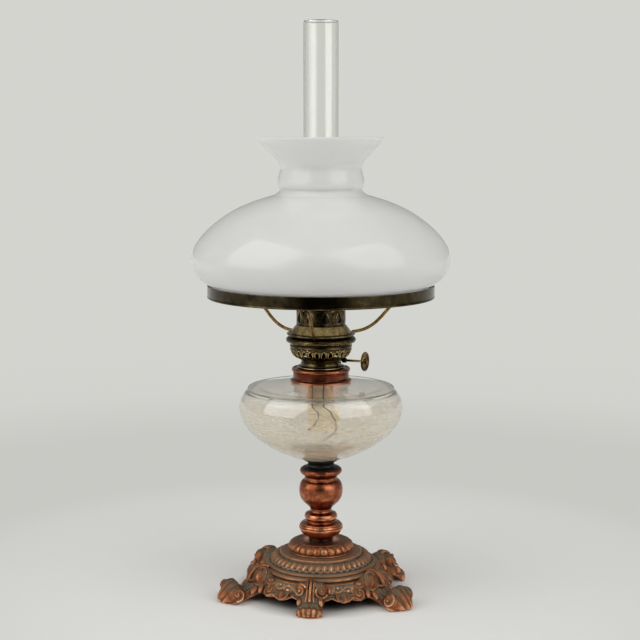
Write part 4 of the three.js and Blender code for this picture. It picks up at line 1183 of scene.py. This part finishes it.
# how high the ornament stands in mm, and how deep the ground between it lies
LEAF_HEIGHT, RIB_HEIGHT, BEAD_HEIGHT, LEAF_GROUND = 1.15, 0.35, 0.75, 0.5
VINE_HEIGHT, BORDER_HEIGHT, FRIEZE_GROUND = 0.8, 0.7, 0.35
# a bud and its two leaflets: place beside the bud, half width, half length and height
BUD = [(0, 0.12, 0.12, 1.1), (-0.19, 0.06, 0.17, 0.75), (0.19, 0.06, 0.17, 0.75)]
dome_outline = flowing(
    [
        *corner(BORE, DOME_TOP), (30, DOME_TOP), (42.2, DOME_TOP), (43.5, 43.1), (44.2, 42.2),
        (44.2, 41.3), *corner(44.8, 40.7), (46.4, 40.6), (48.9, 39.6), (51.5, 37.7), (53.6, 35.6),
        *corner(54.5, 34.3), (55.4, 33.7), (56.6, 33.5), (57.7, 33.1), (58.7, 32.2), (59, 31),
        *corner(58.6, 30), (59.6, 30), (61, 29.8), (62.3, 29), (62.9, 27.7), (62.4, 26.5),
        (60.8, 25.7), (60.8, 25.2), (62.6, 25), (64.2, 24.2), (66.6, 21.6), (68.9, 18.6),
        (70.8, 15.6), *corner(71.8, 13.9), (72.6, 13.5), (73.6, 12.7), (74, 11.7),
        *corner(73.9, 11), (74.8, 10.2), (75.8, 9), (76, 8.2), (75, 7.8), (73.4, 8.4), (72, 9.8),
        (68, 15.2), (62, 22.5), (56, 28), (48, 34), (40, 38.4), *corner(34, DOME_UNDER),
        *corner(BORE, DOME_UNDER),
    ],
    spans=3,
)
dome = turned("base_dome", dome_outline, steps=672)


def wave_ridge(value, width):
    """A rounded ridge, 1 on its crest and 0 a width away from it."""
    return np.clip(1 - (value / width) ** 2, 0, 1) ** 0.7


def oval(across, along, width, length):
    """A rounded lump, 1 in its middle and 0 at its edge."""
    return np.clip(1 - (across / width) ** 2 - (along / length) ** 2, 0, 1) ** 0.5


def phase(angle, count, shift=0.0):
    """How far round one of a count of repeats a point is, from -0.5 to 0.5."""
    return ((angle / FULL_TURN * count + 0.5 + shift) % 1) - 0.5


def down_band(radius, z, band):
    """How far down a band a point lies, from 0 to 1, and how far in front of it, in mm."""
    (edge_radius, edge_height), (out, down), width = band
    along = ((radius - edge_radius) * out - (z - edge_height) * down) / width
    return along, (radius - edge_radius) * down + (z - edge_height) * out


# how far the apron's edge climbs, by degrees from a shell foot
EDGE_RADIUS, EDGE_TOP = 69, 13.5
EDGE_ANGLES = [0, 11, 16, 21, 26, 30, 33, 36, 40, 46, 60]
EDGE_LIFTS = [0, 3.0, 4.6, 1.8, 0, 1.0, 2.8, 1.0, 0, 1.6, 0]


def dome_ornament(points):
    """Leaves round the shoulder, a vine in the frieze and a scalloped edge below."""
    radius, angle, z = polar(points)
    # leaves that lie down the slope like shingles, each with a midrib, and beads between
    along, above = down_band(radius, z, LEAF_BAND)
    on_band = (above > -2.5) & (along > -0.05) & (along < 1.05)
    leaf = phase(angle, LEAVES) + 0.3 * (along - 0.5)
    blade = oval(leaf, along - 0.42, 0.5, 0.44)
    rib = wave_ridge(leaf, 0.12) * blade
    bead = oval(phase(angle, LEAVES, 0.5) + 0.12, along - 0.87, 0.3, 0.13)
    leaves = LEAF_HEIGHT * blade + RIB_HEIGHT * rib + BEAD_HEIGHT * bead
    swell = np.where(on_band, leaves - LEAF_GROUND, 0)
    # the frieze: a vine that waves down and up, with a bud in each of its bays
    slope, above = down_band(radius, z, FRIEZE_BAND)
    on_frieze = (above > -1.7) & (slope > 0.02) & (slope < 0.98)
    vine = wave_ridge(slope - 0.5 - 0.2 * np.sin(angle * VINE_WAVES), 0.1)
    growth = VINE_HEIGHT * vine
    for shift, middle in ((-0.25, 0.34), (0.25, 0.66)):
        for side, width, length, height in BUD:
            lump = oval(phase(angle, VINE_WAVES, shift + side), slope - middle, width, length)
            growth = np.maximum(growth, height * lump)
    border = np.maximum(wave_ridge(slope - 0.06, 0.05), wave_ridge(slope - 0.95, 0.05))
    swell += np.where(on_frieze, np.maximum(growth, BORDER_HEIGHT * border) - FRIEZE_GROUND, 0)
    # the apron's edge climbs between its scrolls, by degrees from the nearest shell foot
    sector = np.abs((np.degrees(angle) + 90 + 60) % 120 - 60)
    edge = np.clip((EDGE_TOP - z) / 4, 0, 1) * (radius > EDGE_RADIUS)
    lift = np.interp(sector, EDGE_ANGLES, EDGE_LIFTS)
    (leaf_rise, leaf_out), (frieze_rise, frieze_out) = LEAF_BAND[1], FRIEZE_BAND[1]
    grown = radius + swell * np.where(on_frieze, frieze_out, leaf_out) + edge * (0.9 - 0.4 * lift)
    rise = swell * np.where(on_frieze, frieze_rise, leaf_rise) + edge * lift
    return from_polar(grown, angle, z + rise)


sculpt(dome, dome_ornament)
relief(dome, depth_mm=0.8, rounds=30)
finish(dome, dusty_casting, "stand", "patinated_casting", "base_casting")

# %% Petal ring
petal_outline = flowing(
    [
        *corner(BORE, 43.75), (34, 43.75), (34.4, 44.1), (34.2, 44.9), *corner(33.4, 45.4),
        (34.2, 46), (34.9, 47.4), (34.95, 48.8), (34.5, 50.4), (33.4, 52), (31.6, 53.4),
        (29.6, 54.2), *corner(27.9, 54.4), (27.4, 54.9), (26.4, 54.95), (20, 54.95),
        *corner(BORE, 54.95),
    ],
    spans=4,
)
petals = turned("petal_ring_cast", petal_outline, steps=PETALS * 16)
GROOVE_DEPTH = 2.0
PETAL_FOOT, PETAL_TOP, PETAL_INSIDE = 45.4, 54.3, 27


def gadroons(points):
    """Presses grooves between the petals, deepest where the ring bulges most."""
    radius, angle, z = polar(points)
    reach = np.clip((z - PETAL_FOOT) / 1.2, 0, 1) * np.clip((PETAL_TOP - z) / 0.8, 0, 1)
    groove = np.abs(np.sin(angle * PETALS / 2))
    deep = GROOVE_DEPTH * reach * (radius > PETAL_INSIDE) * (1 - groove**0.55)
    outward = np.clip((z - 44.5) / 10, 0, 1)
    return from_polar(radius - deep * (1 - 0.6 * outward), angle, z - deep * 0.5 * outward)


sculpt(petals, gadroons)
relief(petals, depth_mm=0.9, rounds=20)
finish(petals, petal_casting_painted_highlight, "stand", "patinated_casting", "petal_ring")

# %% [markdown]
# ## Feet
# Each foot is modelled once, pointing along X, from a lobed body, volutes, ridges and
# bosses. A voxel remesh then fuses them into one skin, and a little smoothing rounds the
# joins, as casting and bronzing did on the real base. Copies are turned to their places.


# %% Foot helpers
def bar(name, rings, sides):
    """A plain round bar along X, one unit for each ring, that a form is then given to."""
    upright = {"fill_type": "NGON", "rotation": (0, math.pi / 2, 0)}
    obj = primitive("circle", name, vertices=sides, radius=1, **upright)
    bpy.ops.object.transform_apply(rotation=True)
    bpy.ops.object.mode_set(mode="EDIT")
    bpy.ops.mesh.select_all(action="SELECT")
    for _ in range(rings - 1):
        bpy.ops.mesh.extrude_region_move(TRANSFORM_OT_translate={"value": (1, 0, 0)})
    close_up()
    return obj


def foot_body(name, stations, lobes, flutes):
    """A bar given a foot's form.

    A station is (x, half width, top, bottom, lobe depth, flute depth, pull, bow), without
    the zeros at its end. Pull is how far the grooves between the lobes go back, and bow how
    far the toe's corners do."""
    full = [station + (0,) * (8 - len(station)) for station in stations]
    rows = np.array(flowing(full, spans=5))
    body = bar(name, len(rows), 96)

    def form(points):
        row = rows[np.rint(points[:, 0]).astype(int)].T
        x, half, top, bottom, lobe, flute, pull, bow = row
        turn = np.arctan2(points[:, 2], points[:, 1])
        side, rise = np.cos(turn), np.sin(turn)
        u = np.sign(side) * np.abs(side) ** 0.85
        waist = bottom + 0.32 * (top - bottom)
        over = waist + (top - waist) * np.abs(rise) ** 0.9 * (1 - 0.05 * bow * u**2)
        under = waist - (waist - bottom) * np.abs(rise) ** 0.5
        crease = 1 - np.abs(np.sin(np.pi * lobes * (u + 1) / 2)) ** 0.6
        furrow = 0.5 + 0.5 * np.cos(np.pi * flutes * (u + 1))
        upper = np.clip(rise * 3 + 1, 0, 1)
        dip = (crease * lobe + furrow * flute) * upper * np.abs(rise) ** 0.5
        z = np.where(rise > 0, over, under) - dip
        back = crease * pull * upper + bow * u**2
        return np.stack([x - back, half * u, z], axis=1)

    return sculpt(body, form)


def volute(name, centre, radius, turns, facing, thick, start, hand=1):
    """A spiral ridge that faces along a direction, ending in a round eye."""
    t = np.linspace(0, 1, int(turns * 22) + 1)
    spin = math.radians(start) + hand * t * turns * FULL_TURN
    points = from_polar(radius * (1 - 0.86 * t**0.85), spin, 0.9 * t)
    ridge = wire(name, points, thick, taper=1.15 - 0.35 * t)
    eye = primitive("uv_sphere", "volute_eye", segments=14, ring_count=9, radius=radius * 0.24)
    moved(eye, Matrix.Translation((0, 0, 0.9)))
    spiral = joined(name, [ridge, eye])
    return moved(spiral, turn_to(Vector(facing).normalized()), Matrix.Translation(centre))


def placed(obj, size, tilt, twist, centre):
    """Scales a piece, tilts it about Y, twists it about Z and sets it at its centre."""
    scale = Matrix.Diagonal((*size, 1))
    return moved(obj, scale, turn_about("Y", tilt), turn_about("Z", twist), Matrix.Translation(centre))


def blob(name, centre, size, tilt=0, twist=0):
    """A rounded boss of a size in mm."""
    boss = primitive("uv_sphere", name, segments=24, ring_count=14, radius=1)
    return placed(boss, [s / 2 for s in size], tilt, twist, centre)


def rim_of(name, centre, length, width, thick, tilt, twist):
    """An oval rim round a boss."""
    radii = {"major_radius": length / 2, "minor_radius": thick}
    ring = primitive("torus", name, major_segments=40, minor_segments=8, **radii)
    return placed(ring, (1, width / length, 1), tilt, twist, centre)


def fused(name, parts, voxel=0.55):
    """Fuses overlapping parts into one cast skin."""
    whole = joined(name, parts)
    applied(whole, "REMESH", mode="VOXEL", voxel_size=voxel, adaptivity=0)
    return applied(whole, "SMOOTH", factor=0.5, iterations=3)


def cast_feet(name, parts, angles):
    """Fuses a foot's parts, and turns a copy of it to each of its places."""
    pattern = fused(name, parts)
    for i, angle in enumerate(angles):
        foot = copy_of(pattern, f"{name}_{i + 1}", turn_about("Z", angle))
        relief(foot, depth_mm=0.8, rounds=24)
        finish(foot, casting, "stand", "patinated_casting", "base_casting")
    bpy.data.objects.remove(pattern)


# %% Scroll foot
SCROLL_STATIONS = [
    (57, 17, 27, 16),
    (62, 19, 31, 12),
    (68, 19.5, 32, 9),
    (73, 17.5, 29.5, 7),
    (78, 14.5, 24, 5, 0, 0.5),
    (82, 12.6, 18, 3.4, 0, 1.5),
    (86, 12.2, 14.6, 2, 0, 1.7),
    (90, 13.4, 14.6, 1, 0, 1.6),
    (94, 16, 17.6, 0.3, 0.3, 1),
    (98, 18.6, 22.4, 0, 1.2, 0, 0, 1),
    (103, 20.6, 22.4, 0, 2, 0, 0, 2.4),
    (107.5, 20, 19.6, 0, 2.6, 0, 0.5, 5),
    (112, 17.6, 14, 0, 2.6, 0, 1.2, 7),
    (115.6, 14.6, 8.2, 0, 2, 0, 1.8, 8),
    (117.9, 11, 3, 0, 0.8, 0, 2.2, 8),
]
BROW_LINE = [(60, 0, 31.5), (66, 0, 33.6), (72, 0, 32.8), (77, 0, 28.8), (80.5, 0, 24), (82.6, 0, 19)]
LIP_LINE = [(76, -11, 26), (80, -7.5, 21.4), (82.4, 0, 19.4), (80, 7.5, 21.4), (76, 11, 26)]
scroll_parts = [
    foot_body("scroll_foot", SCROLL_STATIONS, lobes=4, flutes=5),
    wire("brow_ridge", flowing(BROW_LINE), 2.2, roundness=3),
    wire("curled_lip", flowing(LIP_LINE), 1.7, roundness=3),
]
for side in (-1, 1):
    scroll_parts += [
        blob("toe_drum", (101, side * 13.4, 11), (16, 13, 16)),
        volute("toe_volute", (101, side * 18.4, 11.8), 7.6, 1.2, (0, side, 0.5), 1.25, 70, side),
        blob("eye_socket", (72.6, side * 9.6, 24.4), (20, 17, 12), tilt=48, twist=side * 34),
        blob("eye", (74.2, side * 11.2, 26.6), (16, 8.4, 9.4), tilt=52, twist=side * 38),
        rim_of("eye_rim", (73.6, side * 10.8, 25.9), 20.5, 13.6, 1.1, 52, side * 38),
        blob("side_boss", (64, side * 19.4, 22.8), (9, 8.5, 7.5), tilt=24, twist=side * 60),
        rim_of("side_rim", (64, side * 19, 22.4), 11.5, 11, 0.8, 24, side * 60),
        blob("leaf_low", (80, side * 13.4, 13.4), (14, 5.5, 6), tilt=34, twist=side * 16),
        blob("leaf_mid", (74.5, side * 17.4, 15.5), (13, 5.5, 6.5), tilt=40, twist=side * 40),
        blob("leaf_top", (66, side * 20.4, 18.5), (11, 5.5, 7), tilt=36, twist=side * 66),
        volute("frame_curl", (78.5, side * 9.6, 21.6), 3.8, 1.2, (0.6, side * 0.5, 0.5), 0.9, 90, side),
    ]
cast_feet("scroll_foot", scroll_parts, angles=(-30, 90, 210))

# %% Shell foot
SHELL_FEET = (-90, 30, 150)
SHELL_STATIONS = [
    (57, 11, 25, 16),
    (62, 13, 29.5, 13, 0, 0.2),
    (68, 14.5, 32, 10.5, 0, 0.4),
    (74, 15, 32.4, 8.5, 0, 0.6),
    (79, 14.2, 29, 6.5, 0, 0.8),
    (83, 13, 22.6, 5, 0, 0.6),
    (86.5, 12.6, 16.6, 3.4, 0, 0.6, 0, 0.5),
    (89.5, 13, 11.6, 1.6, 0.4, 0.2, 0, 1.2),
    (92.5, 13.8, 10.4, 0.6, 1.4, 0, 0.3, 2.4),
    (95.8, 14.2, 10.6, 0.1, 2.2, 0, 1, 3.6),
    (98.6, 13.6, 7.6, 0, 2.2, 0, 2, 4.8),
    (98.9, 12.2, 2.6, 0.2, 1.2, 0, 2.2, 5),
]
shell_parts = [foot_body("shell_foot", SHELL_STATIONS, lobes=5, flutes=3)]
for side in (-1, 1):
    shell_parts += [
        volute("brow_volute", (81.6, side * 10.6, 24), 7.6, 1.75, (0.78, side * 0.5, 0.32), 1.1, 90, -side),
        blob("brow_drum", (76, side * 8.4, 23.6), (15, 15.5, 17)),
        blob("side_curl", (85.5, side * 10.6, 13), (9, 6, 9), tilt=40, twist=side * 16),
        blob("side_leaf", (66, side * 15.2, 20), (10, 5, 8), tilt=36, twist=side * 50),
    ]
for across, thick in ((-3.4, 0.8), (0, 1.45), (3.4, 0.8)):
    spine = [
        (70, across, 32.6), (75, across, 33), (80, across, 30.4), (84, across, 25),
        (87.5, across * 1.1, 19.4), (90.5, across * 1.3, 15.4),
    ]
    shell_parts.append(wire("brow_rib", flowing(spine, spans=5), thick))
cast_feet("shell_foot", shell_parts, angles=SHELL_FEET)

# %% Apron scrolls
APRON_TILT = (0.79, 0, 0.61)
boss = fused(
    "apron_boss",
    [
        blob("hanging_boss", (73.6, 0, 13.4), (7.6, 8.2, 11.6), tilt=-34),
        volute("boss_scroll", (73.3, 0, 14.4), 7.8, 1.35, APRON_TILT, 1.25, -110),
        blob("boss_pad", (71.2, 0, 12.6), (7.5, 13.5, 12.5), tilt=-38),
    ],
    voxel=0.5,
)
curl = fused(
    "apron_curl",
    [
        volute("curl_scroll", (73.4, 0, 15), 7, 1.7, APRON_TILT, 1.2, -60),
        blob("curl_pad", (70.8, 0, 13.8), (7, 14, 15), tilt=-38),
        blob("curl_leaf", (73.4, -6, 11), (6.5, 7.5, 5.5), tilt=-30, twist=-5),
    ],
    voxel=0.5,
)
scrolls = []
for foot_angle in SHELL_FEET:
    for hand in (1, -1):
        mirror = Matrix.Diagonal((1, hand, 1, 1))
        for piece, offset in ((boss, 26), (curl, 40)):
            place = turn_about("Z", foot_angle + hand * offset)
            scrolls.append(copy_of(piece, "apron_scroll_copy", mirror, place))
bpy.data.objects.remove(boss)
bpy.data.objects.remove(curl)
apron = joined("apron_scrolls", scrolls)
bpy.ops.object.mode_set(mode="EDIT")
close_up()
relief(apron, depth_mm=0.8, rounds=20)
finish(apron, casting, "stand", "patinated_casting", "base_casting")

# %% [markdown]
# ## Hidden hardware
# The rod, its nuts, the plaster and the wick's tubes keep their CAD shapes, which are plain
# and right, and only get their finishes.

# %% CAD pieces that stay
STAYING = {
    steel: ["base_washer", "base_nut", "tie_rod", "cup_nut"],
    plaster: ["font_cement", "collar_cement"],
    # the wick tubes take the dark brass as painted shade inside the crown
    dark_brass_and_painted_shade: ["outer_wick_tube", "draft_tube"],
    brass: ["feed_wheel_inner", "feed_wheel_outer", "spindle_bush"],
    wire_brass: ["arm_rivet_1", "arm_rivet_2", "arm_rivet_3"],
}
for material, names in STAYING.items():
    for name in names:
        node = frame["nodes"][name]
        node.data.materials.clear()
        node.data.materials.append(material)
print("CAD nodes that stay:", sum(len(names) for names in STAYING.values()))
